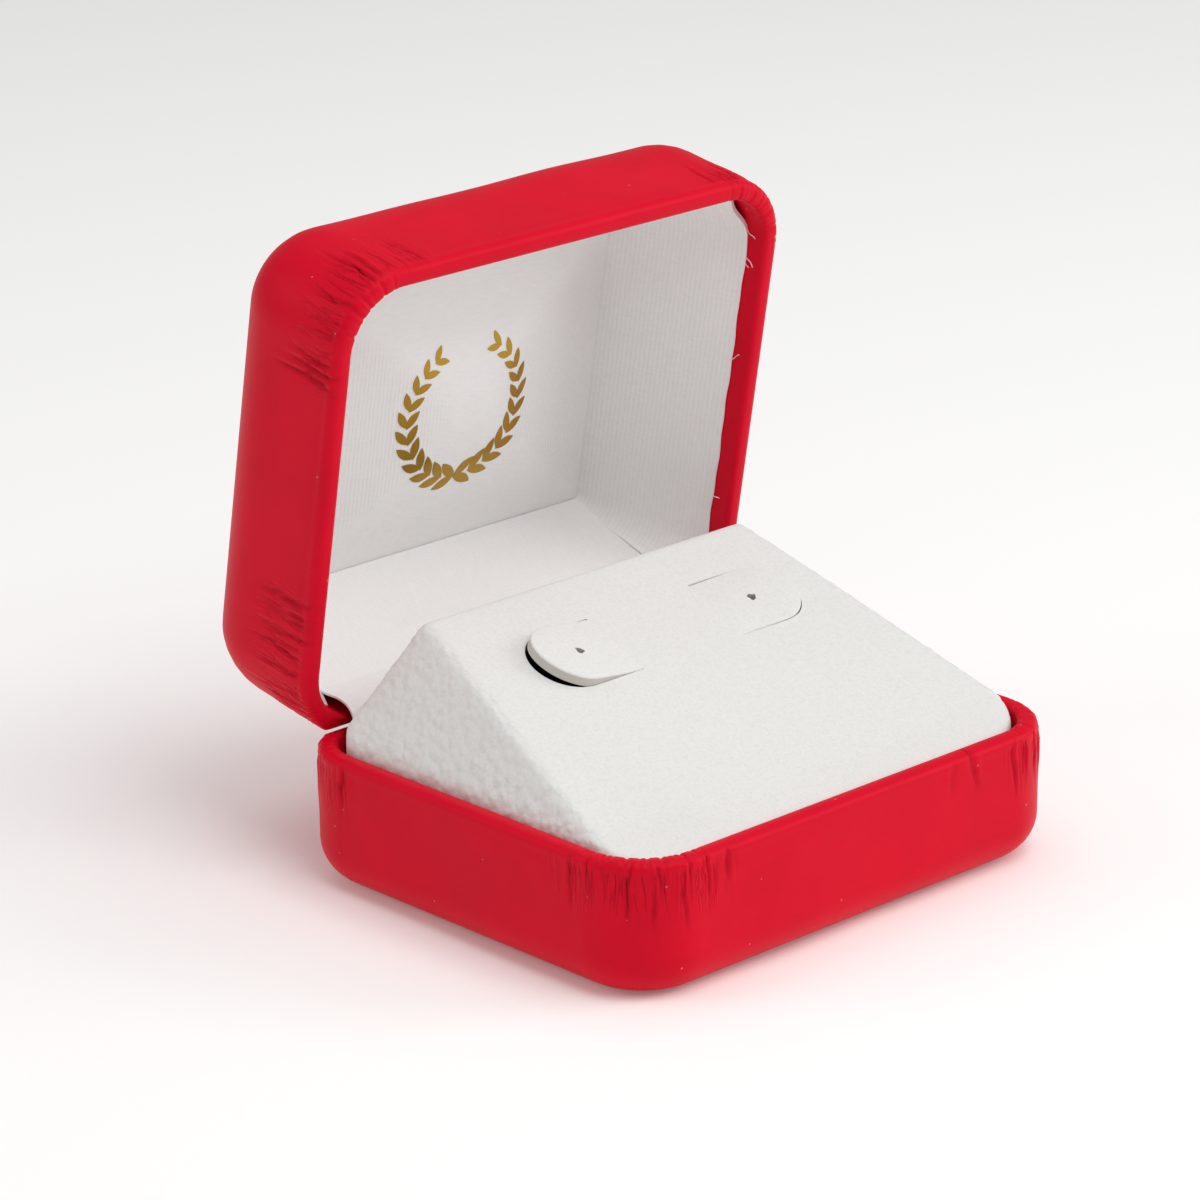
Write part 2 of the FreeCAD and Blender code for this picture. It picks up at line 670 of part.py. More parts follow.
def build():
    """All pieces by name, in the open position."""
    pieces = {
        "base_shell": base_shell(),
        "base_cover": base_cover(),
        "hinge_leaf_base": hinge_leaf_base(),
        "hinge_rivets_base": hinge_rivets_base(),
        "hinge_pin": hinge_pin(),
        "snap_spring": snap_spring(),
        "insert_base_card": insert_base_card(),
        "insert_core": insert_core(),
        "insert_slope_card": insert_slope_card(),
        "insert_cover": insert_cover(),
        "left_flap": flap(-1, LEFT_FLAP_LIFT),
        "right_flap": flap(1, RIGHT_FLAP_LIFT),
        "hinge_cover": hinge_cover(),
    }
    lid_pieces = {
        "lid_shell": lid_shell(),
        "lid_cover": lid_cover(),
        "hinge_leaf_lid": hinge_leaf_lid(),
        "hinge_rivets_lid": hinge_rivets_lid(),
        "lining_card": lining_card(),
        "lining_wadding": lining_wadding(),
        "lining_puff_satin": lining_puff_satin(),
        "lining_wall_band": lining_wall_band(),
        "lining_wall_hinge": lining_wall_hinge(),
        "foil_ornament": foil_ornament(),
    }
    for name, shape in lid_pieces.items():
        pieces[name] = swing_open(shape)
    return pieces


os.makedirs("parts", exist_ok=True)
for name, shape in build().items():
    shape.exportStep("parts/" + name + ".step")
    print(name, "solids", len(shape.Solids), "valid", shape.isValid(), "volume", round(shape.Volume, 2))
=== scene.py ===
import math
import random

import bmesh
import bpy
import numpy as np
from mathutils import Matrix, Vector


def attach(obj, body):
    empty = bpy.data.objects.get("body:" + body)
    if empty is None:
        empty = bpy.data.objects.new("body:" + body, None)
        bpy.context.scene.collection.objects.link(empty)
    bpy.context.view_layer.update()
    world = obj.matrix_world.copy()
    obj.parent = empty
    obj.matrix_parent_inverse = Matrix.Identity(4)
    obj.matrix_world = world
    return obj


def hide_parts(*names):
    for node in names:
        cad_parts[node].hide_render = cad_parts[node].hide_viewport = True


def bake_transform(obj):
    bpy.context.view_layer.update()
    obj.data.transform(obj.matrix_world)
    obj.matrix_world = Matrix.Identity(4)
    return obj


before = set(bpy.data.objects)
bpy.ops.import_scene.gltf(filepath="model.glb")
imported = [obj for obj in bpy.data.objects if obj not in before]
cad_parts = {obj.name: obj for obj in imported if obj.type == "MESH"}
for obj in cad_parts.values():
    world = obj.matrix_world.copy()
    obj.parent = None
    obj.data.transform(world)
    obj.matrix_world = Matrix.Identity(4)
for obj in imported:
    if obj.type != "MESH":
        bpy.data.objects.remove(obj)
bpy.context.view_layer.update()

bl_info = {
    "name": "Leatherette Jewellery Box",
    "version": (1, 0, 0),
    "blender": (4, 5, 0),
    "location": "3D View > Sidebar > Jewellery Box",
    "description": "Builds the covers, padded insert, flaps, satin lining and foil of a hinged jewellery box",
    "category": "Object",
}

MM = 0.001


# --- small helpers ---

def hex_colour(code):
    """An sRGB hex colour as linear red, green and blue."""
    channels = [int(code[i:i + 2], 16) / 255 for i in (0, 2, 4)]
    return tuple(c / 12.92 if c <= 0.04045 else ((c + 0.055) / 1.055) ** 2.4 for c in channels)


def add_node(tree, kind, inputs=None, **settings):
    """Adds a node. Each input is a value, or another node's output to link to."""
    made = tree.nodes.new(kind)
    for name, value in settings.items():
        setattr(made, name, value)
    for socket, value in (inputs or {}).items():
        if isinstance(value, bpy.types.NodeSocket):
            tree.links.new(value, made.inputs[socket])
        else:
            made.inputs[socket].default_value = value
    return made


def new_piece(name, primitive, scale=(1, 1, 1), **place):
    """Deselects everything and adds a primitive at its size and place, as one named object."""
    bpy.ops.object.select_all(action="DESELECT")
    primitive(**place)
    piece = bpy.context.object
    piece.scale = scale
    piece.name = name
    piece.data.name = name
    bpy.ops.object.transform_apply(location=True, rotation=True, scale=True)
    return piece


def select(*pieces):
    """Selects only these pieces and makes the first one active."""
    bpy.ops.object.select_all(action="DESELECT")
    for piece in pieces:
        piece.select_set(True)
    bpy.context.view_layer.objects.active = pieces[0]


def edit(piece):
    """Makes the piece the only selected one and opens it in edit mode, with all of it selected."""
    select(piece)
    bpy.ops.object.mode_set(mode="EDIT")
    bpy.ops.mesh.select_all(action="SELECT")


def leave_edit():
    """Back to object mode."""
    bpy.ops.object.mode_set(mode="OBJECT")


def face_outward(piece):
    """Turns all faces outward and goes back to object mode."""
    edit(piece)
    bpy.ops.mesh.normals_make_consistent(inside=False)
    leave_edit()


def join(pieces, name):
    """Joins the pieces into the first one and names it."""
    select(*pieces)
    bpy.ops.object.join()
    pieces[0].name = pieces[0].data.name = name
    return pieces[0]


def round_off(radius, segments, affect="EDGES"):
    """Bevels what is selected."""
    bpy.ops.mesh.bevel(offset=radius, segments=segments, profile=0.5, affect=affect, clamp_overlap=False)


def divide(piece, cuts, test):
    """Cuts the edges of the piece being edited that pass a test into equal parts."""
    pick(piece, "EDGE", test)
    bpy.ops.mesh.subdivide(number_cuts=cuts)


def extrude(step):
    """Extrudes what is selected by a step."""
    bpy.ops.mesh.extrude_region_move(TRANSFORM_OT_translate={"value": step})


def pick(piece, kind, test):
    """Selects the verts, edges or faces of the piece being edited that pass a test."""
    bpy.ops.mesh.select_mode(type=kind)
    bpy.ops.mesh.select_all(action="DESELECT")
    mesh = bmesh.from_edit_mesh(piece.data)
    for element in {"VERT": mesh.verts, "EDGE": mesh.edges, "FACE": mesh.faces}[kind]:
        if test(element):
            element.select_set(True)
    mesh.select_flush_mode()
    bmesh.update_edit_mesh(piece.data)


def modify(piece, kind, **settings):
    """Adds a modifier to the piece and applies it."""
    select(piece)
    modifier = piece.modifiers.new(kind, kind)
    for name, value in settings.items():
        setattr(modifier, name, value)
    bpy.ops.object.modifier_apply(modifier=modifier.name)


def points_of(piece):
    """The piece's vertex places as an array."""
    flat = np.empty(len(piece.data.vertices) * 3)
    piece.data.vertices.foreach_get("co", flat)
    return flat.reshape(-1, 3)


def set_points(piece, points):
    """Moves the piece's vertices to these places."""
    piece.data.vertices.foreach_set("co", points.ravel())
    piece.data.update()


def smooth(piece, degrees):
    """Smooth shading, with edges sharper than the angle kept."""
    select(piece)
    bpy.ops.object.shade_smooth_by_angle(angle=math.radians(degrees))


def ease(value):
    """Smooth step of values from 0 to 1."""
    t = np.clip(value, 0, 1)
    return t * t * (3 - 2 * t)


def along(edge, axis, longer):
    """True for an edge that runs along one axis and is longer than a length."""
    step = edge.verts[0].co - edge.verts[1].co
    return step.length > longer and abs(abs(step[axis]) - step.length) < 1e-7


def level(edge, height):
    """True for an edge that lies flat at a height."""
    return all(abs(v.co.z - height) < 1e-6 for v in edge.verts)


def mark(piece, name, values):
    """Writes a value per vertex, for a material to read."""
    kind, key = ("FLOAT_VECTOR", "vector") if np.ndim(values) == 2 else ("FLOAT", "value")
    layer = piece.data.attributes.new(name, kind, "POINT")
    layer.data.foreach_set(key, np.asarray(values, np.float32).ravel())


def set_uv(piece, u, v):
    """Writes a UV map from one u and one v per vertex, in metres."""
    layer = piece.data.uv_layers.get("UVMap") or piece.data.uv_layers.new(name="UVMap")
    index = np.empty(len(piece.data.loops), int)
    piece.data.loops.foreach_get("vertex_index", index)
    layer.data.foreach_set("uv", np.column_stack((u[index], v[index])).astype(np.float32).ravel())


# --- sizes and colours ---

def length(description, millimetres):
    """A length property."""
    return bpy.props.FloatProperty(description=description, default=millimetres * MM, min=0.0,
                                   precision=5, subtype="DISTANCE", unit="LENGTH")


def degrees(description, value):
    """An angle property."""
    return bpy.props.FloatProperty(description=description, default=math.radians(value),
                                   subtype="ANGLE", unit="ROTATION")


def colour(description, code):
    """A colour property."""
    return bpy.props.FloatVectorProperty(description=description, default=hex_colour(code), min=0.0,
                                         max=1.0, size=3, subtype="COLOR")


class JewelleryBoxSizes(bpy.types.PropertyGroup):
    case_width: length("Width of the closed case", 60.3)
    case_depth: length("Depth of the closed case", 50.8)
    base_height: length("Height of the base at its rim", 14.3)
    lid_height: length("Height of the lid from its rim", 17.8)
    rim_gap: length("Gap between the closed rims", 0.3)
    corner_radius: length("Upright corners of the case", 8.2)
    base_edge: length("Rounding of the bottom edge", 4.4)
    lid_edge: length("Rounding of the lid's top edge", 7.8)
    base_back_round: length("Rounding of the base rim over the hinge", 2.4)
    lid_back_round: length("Rounding of the lid rim over the hinge", 3.4)
    wall: length("Leatherette, steel and turn-in together", 2.1)
    cover: length("Thickness of the leatherette", 0.6)
    turn_in: length("Depth of the leatherette inside the rim", 7.0)
    rim_round: length("Outer rounding of the rolled rim", 1.0)
    hinge_from_back: length("Hinge axis in from the back face", 1.9)
    hinge_above_rim: length("Hinge axis above the base rim", 1.0)
    open_angle: degrees("How far the lid stands open", 80.0)
    groove: length("Radius of the groove round the barrels", 1.35)
    hinge_half: length("Half the length of the barrels", 19.2)
    crease_depth: length("Depth of the gathers near the rim", 0.15)


class JewelleryBoxInsert(bpy.types.PropertyGroup):
    half_width: length("Half the width of the insert", 27.6)
    front: length("Front of the insert from the middle", 22.6)
    back: length("Back of the insert from the middle", 20.4)
    bottom: length("Underside of the insert", 2.6)
    front_corner: length("Corner radius at the front", 6.0)
    back_corner: length("Corner radius at the back", 3.0)
    ridge_height: length("Height of the ridge", 27.6)
    ridge_back: length("Ridge behind the middle", 13.5)
    ridge_half: length("Half the length of the ridge", 22.0)
    front_height: length("Height of the slope's front edge", 13.4)
    foot_height: length("Height where sides and back turn upright", 15.0)
    hole_spacing: length("Between the two pin holes", 24.2)
    hole_back: length("Pin holes behind the middle", 3.5)
    pair_shift: length("Both flaps to the right of the middle", 1.6)
    hole_radius: length("Radius of a pin hole", 0.5)
    flap_radius: length("Radius of the flap's round end", 4.3)
    flap_tip: length("From the hole to the flap's tip", 5.5)
    flap_root: length("From the hole to the flap's fold", 5.1)
    flap_thickness: length("Skin and card together", 1.1)
    slit: length("Width of the cut round a flap", 0.07)
    curl: length("How far the left flap's tip curls up", 0.5)
    left_lift: degrees("How far the left flap stands up", 6.5)
    right_lift: degrees("How far the right flap stands up", 1.5)


class JewelleryBoxLining(bpy.types.PropertyGroup):
    recess: length("Lining edge in from the lid rim", 2.4)
    gap: length("Lining clear of the turn-in", 0.12)
    panel_half_x: length("Half the width of the puffed panel", 21.3)
    panel_half_y: length("Half the depth of the puffed panel", 17.0)
    panel_from_top: length("Panel card in from the top of the lid", 1.85)
    puff: length("Rise of the puffed panel", 3.7)
    satin: length("Thickness of the satin strip", 0.22)
    card: length("Thickness of the lining walls", 0.5)
    strip_half: length("Half the width of the satin strip", 24.3)
    strip_radius: length("Satin strip round the hinge axis", 2.1)
    strip_foot: length("Satin strip below the base rim", 6.0)
    wreath_radius: length("Radius of the foil wreath", 7.6)
    leaf_length: length("Length of a foil leaf", 3.0)
    leaf_width: length("Width of a foil leaf", 1.15)
    foil: length("Thickness of the foil", 0.05)


class JewelleryBoxColours(bpy.types.PropertyGroup):
    red: colour("Colour of the case", "DA0B29")
    white: colour("Colour of the insert", "E8E8E5")
    satin: colour("Colour of the lining", "F7F6F5")
    gold: colour("Colour of the foil", "B08A35")
    board: colour("Colour of the grey board", "CBC8C0")
    foam: colour("Colour inside the pockets", "1C1B1A")
    steel: colour("Colour of the zinc-plated trays", "A9ABAD")
    nickel: colour("Colour of the plated hinge", "C9C6BF")
    spring: colour("Colour of the snap spring", "7E8084")
    floor: colour("Colour of the floor", "FBFBFA")


# --- places worked out from the sizes ---

def hinge_axis(sizes):
    """The point of the hinge axis in the middle of the box."""
    return Vector((0, sizes.case_depth / 2 - sizes.hinge_from_back,
                   sizes.base_height + sizes.hinge_above_rim))


def lid_rim(sizes):
    """Height of the closed lid's rim."""
    return sizes.base_height + sizes.rim_gap


def opened(sizes):
    """The matrix that swings a piece of the closed lid open."""
    axis = hinge_axis(sizes)
    return (Matrix.Translation(axis) @ Matrix.Rotation(-sizes.open_angle, 4, "X")
            @ Matrix.Translation(-axis))


def slope_angle(insert):
    """Angle of the insert's front slope."""
    return math.atan2(insert.ridge_height - insert.front_height, insert.ridge_back + insert.front)


def hole_place(insert, side):
    """Where a pin hole meets the slope; side is -1 or 1."""
    fall = (insert.ridge_back - insert.hole_back) * math.tan(slope_angle(insert))
    return Vector((insert.pair_shift + side * insert.hole_spacing / 2, insert.hole_back,
                   insert.ridge_height - fall))


def nearest_flat(points, flat_x, flat_y):
    """The nearest places in plan inside a rectangle with these half sides."""
    return np.column_stack((np.clip(points[:, 0], -flat_x, flat_x), np.clip(points[:, 1], -flat_y, flat_y)))


def bell(values):
    """A soft bump: 1 at 0 and falling away on both sides."""
    return np.exp(-values ** 2)


def around(points, half_x, half_y, radius):
    """Distance round a rounded rectangle from the middle of its front side, anticlockwise,
    and the outward normal in plan, for points on or near its wall."""
    flat_x, flat_y = half_x - radius, half_y - radius
    near = nearest_flat(points, flat_x, flat_y)
    out = points[:, :2] - near
    reach = np.maximum(np.linalg.norm(out, axis=1), 1e-9)
    normal = out / reach[:, None]
    angle = np.arctan2(normal[:, 1], normal[:, 0])
    quarter, close = math.pi / 2, 1e-4
    angle = np.where(angle < -math.pi + close, math.pi, angle)
    before = [angle < limit for limit in (-quarter - close, -quarter + close, -close, close,
                                          quarter - close, quarter + close, math.pi - close)]
    level_x, level_y = near[:, 0], near[:, 1]
    straight = np.select(
        before,
        [-flat_x + 0 * angle, level_x, flat_x + 0 * angle, flat_x + flat_y + level_y,
         flat_x + 2 * flat_y + 0 * angle, 2 * flat_x + 2 * flat_y - level_x,
         3 * flat_x + 2 * flat_y + 0 * angle],
        3 * flat_x + 3 * flat_y - level_y)
    return straight + radius * (angle + math.pi / 2), normal


# --- materials ---

def start_material(name):
    """A material with a node tree, and Object coordinates in millimetres."""
    material = bpy.data.materials.new(name)
    material.use_nodes = True
    tree = material.node_tree
    tree.nodes.clear()
    where = add_node(tree, "ShaderNodeTexCoord").outputs["Object"]
    scaled = add_node(tree, "ShaderNodeMapping", {"Vector": where, "Scale": (1 / MM,) * 3})
    return tree, scaled.outputs[0]


def finish_material(tree, **inputs):
    """Adds the shader with its settings and links it to the output."""
    named = {name.replace("_", " "): value for name, value in inputs.items()}
    shader = add_node(tree, "ShaderNodeBsdfPrincipled", named)
    add_node(tree, "ShaderNodeOutputMaterial", {"Surface": shader.outputs[0]})


def mix_colour(tree, factor, first, second):
    """One colour blended into another."""
    return add_node(tree, "ShaderNodeMix", {0: factor, 6: first, 7: second}, data_type="RGBA").outputs[2]


def shade_colour(tree, value, colour):
    """A colour made lighter or darker."""
    return add_node(tree, "ShaderNodeHueSaturation", {"Value": value, "Color": (*colour, 1)}).outputs[0]


def noise(tree, where, scale, detail, **more):
    """A noise texture's value."""
    inputs = {"Vector": where, "Scale": scale, "Detail": detail, **more}
    return add_node(tree, "ShaderNodeTexNoise", inputs).outputs[0]


def attribute(tree, name):
    """A value written on the vertices."""
    return add_node(tree, "ShaderNodeAttribute", attribute_name=name).outputs["Fac"]


def calculate(tree, operation, *values):
    """One step of arithmetic."""
    return add_node(tree, "ShaderNodeMath", dict(enumerate(values)), operation=operation).outputs[0]


def carry(tree, value, source, target, **how):
    """A value carried from one range into another."""
    inputs = {"Value": value, "From Min": source[0], "From Max": source[1],
              "To Min": target[0], "To Max": target[1]}
    return add_node(tree, "ShaderNodeMapRange", inputs, **how).outputs[0]


def stretch(tree, where, scale, turn=0.0):
    """Coordinates scaled per axis and turned in the plane."""
    inputs = {"Vector": where, "Scale": scale, "Rotation": (0, 0, turn)}
    return add_node(tree, "ShaderNodeMapping", inputs).outputs[0]


def relief(tree, height, strength, depth, under=None, sunk=False):
    """Raises or sinks the surface by a height, a depth in millimetres, over another relief."""
    inputs = {"Height": height, "Strength": strength, "Distance": depth * MM}
    if under:
        inputs["Normal"] = under
    return add_node(tree, "ShaderNodeBump", inputs, invert=sunk).outputs[0]


def red_leatherette(name, colours):
    """Polyurethane leatherette, calendered: a matte film with a fine grain, which scatters a broad
    soft highlight. Where it is gathered it is lined with fine folds, darker in the creases, and a few
    specks of pale dust lie on it."""
    tree, where = start_material(name)
    patches = noise(tree, where, 0.15, 2.0)
    body = shade_colour(tree, carry(tree, patches, (0.3, 0.7), (0.96, 1.04)), colours.red)
    specks = add_node(tree, "ShaderNodeTexVoronoi", {"Vector": where, "Scale": 0.34}).outputs["Distance"]
    dust = carry(tree, specks, (0.025, 0.045), (0.4, 0.0))
    along_rim = add_node(tree, "ShaderNodeAttribute", attribute_name="gather_place").outputs["Vector"]
    folds = noise(tree, stretch(tree, along_rim, (1.15, 1.15, 0.14)), 1.0, 2.0, Distortion=0.4)
    off_middle = calculate(tree, "ABSOLUTE", calculate(tree, "SUBTRACT", folds, 0.5))
    line = carry(tree, off_middle, (0.0, 0.05), (1.0, 0.0), interpolation_type="SMOOTHSTEP")
    fine = calculate(tree, "MULTIPLY", line, attribute(tree, "gather"))
    weight = calculate(tree, "MULTIPLY", fine, 0.12)
    both = calculate(tree, "MULTIPLY_ADD", attribute(tree, "crease"), 0.42, weight)
    lined = mix_colour(tree, both, body, (*(0.35 * c for c in colours.red), 1))
    seen = mix_colour(tree, dust, lined, (0.8, 0.5, 0.48, 1))
    creased = relief(tree, fine, 0.8, 0.12, sunk=True)
    grain = relief(tree, noise(tree, where, 3.0, 3.0), 0.3, 0.03, under=creased)
    finish_material(tree, Base_Color=seen, Roughness=0.42, IOR=1.46, Specular_IOR_Level=0.08, Normal=grain)


def white_leatherette(name, colours):
    """Polyurethane leatherette with a pebbled emboss, matte, so the light breaks up into small soft
    dots. The pebbles, about 1 mm across, stand out where the "pebble" attribute is high and are
    drawn flat elsewhere, which leaves a finer tooth and a faint mottle."""
    tree, where = start_material(name)
    sway = add_node(tree, "ShaderNodeTexNoise", {"Vector": where, "Scale": 0.9, "Detail": 2.0})
    swayed = {0: 0.35, 4: where, 5: sway.outputs["Color"]}
    bent = add_node(tree, "ShaderNodeMix", swayed, data_type="VECTOR").outputs[1]
    cells = add_node(tree, "ShaderNodeTexVoronoi", {"Vector": bent, "Scale": 1.4, "Smoothness": 0.5},
                     feature="SMOOTH_F1")
    cups = calculate(tree, "MULTIPLY", cells.outputs["Distance"], attribute(tree, "pebble"))
    tooth = noise(tree, where, 2.6, 4.0, Roughness=0.65)
    body = shade_colour(tree, carry(tree, tooth, (0.3, 0.55), (0.93, 1.0)), colours.white)
    pebbled = relief(tree, cups, 0.8, 0.3, sunk=True)
    finish_material(tree, Base_Color=body, Roughness=0.62, IOR=1.46, Specular_IOR_Level=0.35,
                    Normal=relief(tree, tooth, 0.6, 0.09, under=pebbled))


def satin_weave(name, colours, turn=0.0):
    """Polyester satin: short floats that run across and shine, over ribs that show where the cloth is
    drawn flat, as much as the "ribbed" attribute says. The turn swings the whole weave round. Threads
    are drawn 0.45 mm apart, coarser than real ones, so they show."""
    tree, _ = start_material(name)
    laid = add_node(tree, "ShaderNodeUVMap", uv_map="UVMap").outputs[0]
    scaled = stretch(tree, laid, (1 / MM,) * 3, turn)
    threads = add_node(tree, "ShaderNodeTexWave", {"Vector": scaled, "Scale": 0.7, "Distortion": 1.4,
                                                   "Detail": 1.0, "Detail Scale": 1.4}, bands_direction="X")
    ribbed = attribute(tree, "ribbed")
    ribs = calculate(tree, "MULTIPLY", threads.outputs["Fac"], ribbed)
    floats = noise(tree, stretch(tree, scaled, (0.8, 3.4, 1.0)), 1.0, 1.0)
    height = calculate(tree, "MULTIPLY_ADD", ribs, 0.6, floats)
    dip = carry(tree, height, (0.3, 1.0), (0.95, 1.0))
    body = shade_colour(tree, calculate(tree, "MULTIPLY_ADD", ribbed, -0.055, dip), colours.satin)
    thread_way = add_node(tree, "ShaderNodeTangent", direction_type="UV_MAP", uv_map="UVMap")
    finish_material(tree, Base_Color=body, Roughness=0.4, IOR=1.5, Specular_IOR_Level=0.6, Anisotropic=0.5,
                    Tangent=thread_way.outputs[0], Sheen_Weight=0.2, Sheen_Roughness=0.4,
                    Normal=relief(tree, height, 0.7, 0.07))


def plain_material(name, colours, shade, roughness, metallic, grain, depth):
    """A finish with one colour and an even grain."""
    tree, where = start_material(name)
    tooth = relief(tree, noise(tree, where, 1 / grain, 3.0), 0.5, depth)
    finish_material(tree, Base_Color=(*getattr(colours, shade), 1), Roughness=roughness, Metallic=metallic,
                    Normal=tooth)


# How each plain finish is made: colour name, roughness, metallic, grain and its depth in millimetres.
PLAIN_FINISHES = {
    # Hot-stamped foil: a thin bright metal layer that takes the weave's unevenness.
    "hot_stamped_gold_foil": ("gold", 0.3, 1.0, 0.8, 0.02),
    # Grey board: pressed paper fibre, dull and slightly fuzzy at the cut edge.
    "pressed_grey_board": ("board", 0.9, 0.0, 0.25, 0.05),
    # Closed-cell foam, black: fully matte, so the pockets read as dark.
    "black_cell_foam": ("foam", 0.95, 0.0, 0.35, 0.08),
    # Cold-rolled steel, zinc plated: a soft satin metal.
    "zinc_plated_steel": ("steel", 0.38, 1.0, 0.5, 0.01),
    # Nickel-plated steel of the hinge, pin and rivets: brighter than the trays.
    "nickel_plated_steel": ("nickel", 0.25, 1.0, 0.5, 0.005),
    # Hardened spring steel: darker, from its heat treatment.
    "tempered_spring_steel": ("spring", 0.32, 1.0, 0.5, 0.005),
    # Painted paper sweep: pale and matte.
    "pale_paper_floor": ("floor", 0.85, 0.0, 3.0, 0.01),
}
PATTERNED_FINISHES = {
    "red_calendered_leatherette": red_leatherette,
    "white_pebbled_leatherette": white_leatherette,
    "satin_weave_upright": satin_weave,
    "satin_weave_round": lambda name, colours: satin_weave(name, colours, math.pi / 2),
}


def finish(piece, *names):
    """Gives a piece its finishes, the first one all over, and makes those that aren't there yet."""
    colours = bpy.context.scene.jewelbox_colours
    piece.data.materials.clear()
    for name in names:
        if name not in bpy.data.materials and name in PLAIN_FINISHES:
            plain_material(name, colours, *PLAIN_FINISHES[name])
        elif name not in bpy.data.materials:
            PATTERNED_FINISHES[name](name, colours)
        piece.data.materials.append(bpy.data.materials[name])


# --- the case ---

def flats(sizes):
    """Half the straight parts of the case's outline, across and front to back."""
    return (sizes.case_width / 2 - sizes.corner_radius, sizes.case_depth / 2 - sizes.corner_radius)


def reach_of(point, sizes):
    """How far a plan point lies outside the case's flats: the corner radius on the outside face of
    a corner, less further in."""
    flat_x, flat_y = flats(sizes)
    return math.hypot(max(abs(point.x) - flat_x, 0), max(abs(point.y) - flat_y, 0))


def gap_round(place, middle, perimeter):
    """How far places round the rim lie from a middle, counted the short way round."""
    return (place - middle + perimeter / 2) % perimeter - perimeter / 2


def gathers(seed, groups):
    """Creases in the leatherette, seeded: each is (place round the rim, start below the rim, length,
    half width, depth, lean). A group is (middle, half spread, count, longest). One crease in four
    is a strong one: longer, wider and deeper."""
    draw = random.Random(seed)
    creases = []
    for middle, spread, count, longest in groups:
        for number in range(count):
            strong = number % 4 == 0
            reach = draw.uniform(0.65, 1.0) if strong else draw.uniform(0.25, 0.8)
            place = middle + draw.uniform(-spread, spread)
            start = draw.uniform(0.2, 2.0) * MM
            half = draw.uniform(0.09, 0.15) * MM * (1.6 if strong else 1)
            strength = draw.uniform(1.0, 1.4) if strong else draw.uniform(0.2, 0.6)
            creases.append((place, start, reach * longest, half, strength, draw.uniform(-0.1, 0.1)))
    return creases


def pressed_in(place, depth, perimeter, creases):
    """How far the creases press the leatherette in, as a share of the full crease depth. Each is a
    narrow valley with the film pushed up along one side of it."""
    sway, tremble = 0.13 * MM, 0.05 * MM
    lip_place, lip_width, lip_rise = 1.7, 1.2, 0.6
    pressed = np.zeros(len(place))
    for middle, start, reach, half, strength, lean in creases:
        down = (depth - start) / reach
        bend = (lean * (depth - start) + sway * np.sin(depth / (0.9 * MM) + middle / MM)
                + tremble * np.sin(depth / (0.37 * MM) + 2 * middle / MM))
        side = gap_round(place - bend, middle, perimeter)
        near = (down > -0.15) & (down < 1.0) & (np.abs(side) < 5 * half)
        t, s = down[near], side[near] / half
        fade = ease((t + 0.15) / 0.25) * (1 - ease((t - 0.35) / 0.65))
        lip = lip_place if lean > 0 else -lip_place
        pressed[near] += strength * fade * (bell(s) - lip_rise * bell((s - lip) / lip_width))
    return pressed


def gather_weight(place, depth, perimeter, groups):
    """How strongly fine folds line the leatherette: 1 in the middle of a gathered stretch below the
    rolled rim, 0 away from it."""
    weight = np.zeros(len(place))
    for middle, spread, _, longest in groups:
        side = np.abs(gap_round(place, middle, perimeter))
        wide = ease((1.15 * spread - side) / (0.5 * spread))
        weight = np.maximum(weight, wide * ease((longest * 0.95 - depth) / (longest * 0.6)))
    return weight * ease((depth - 0.7 * MM) / (0.7 * MM))


def wrapped_tray(name, sizes, height, edge):
    """Leatherette drawn over a steel tray and turned in over its rim, modelled rim up, one layer."""
    close = 0.05 * MM
    piece = new_piece(name, bpy.ops.mesh.primitive_cube_add, size=1, location=(0, 0, height / 2),
                      scale=(sizes.case_width, sizes.case_depth, height))
    radius, inner_radius = sizes.corner_radius, sizes.corner_radius - sizes.wall

    def pick_rim(at_radius):
        pick(piece, "EDGE", lambda e: level(e, height) and all(
            abs(reach_of(v.co, sizes) - at_radius) < close for v in e.verts))

    edit(piece)
    pick(piece, "EDGE", lambda e: along(e, 2, height / 2))
    round_off(radius, 84)
    pick(piece, "EDGE", lambda e: level(e, 0.0))
    round_off(edge, 10)
    pick(piece, "FACE", lambda f: f.normal.z > 0.9)
    bpy.ops.mesh.inset(thickness=sizes.wall, use_even_offset=True)
    extrude((0, 0, -sizes.turn_in))
    bpy.ops.mesh.delete(type="ONLY_FACE")
    pick_rim(radius)
    round_off(sizes.rim_round, 7)
    pick_rim(inner_radius)
    round_off(0.6 * MM, 4)
    divide(piece, 11, lambda e: along(e, 2, 5 * MM) and reach_of(e.verts[0].co, sizes) > radius - 2 * close)
    for axis, cuts in ((0, 130), (1, 110)):
        divide(piece, cuts, lambda e: along(e, axis, 30 * MM))
    leave_edit()
    return piece


def even_out(points, sizes, height, edge):
    """Moves the cuts of the long sides and of the wall closer to the corners and the rim, where the
    leatherette is gathered."""
    for column, flat in enumerate(flats(sizes)):
        share = points[:, column] / flat
        inside = np.abs(share) < 1 - 1e-6
        points[inside, column] = flat * (1.35 * share[inside] - 0.35 * share[inside] ** 3)
    straight = height - sizes.rim_round - edge
    drop = (height - sizes.rim_round - points[:, 2]) / straight
    wall = (drop > 0) & (drop < 1)
    points[wall, 2] += 0.6 * (drop - drop ** 2)[wall] * straight


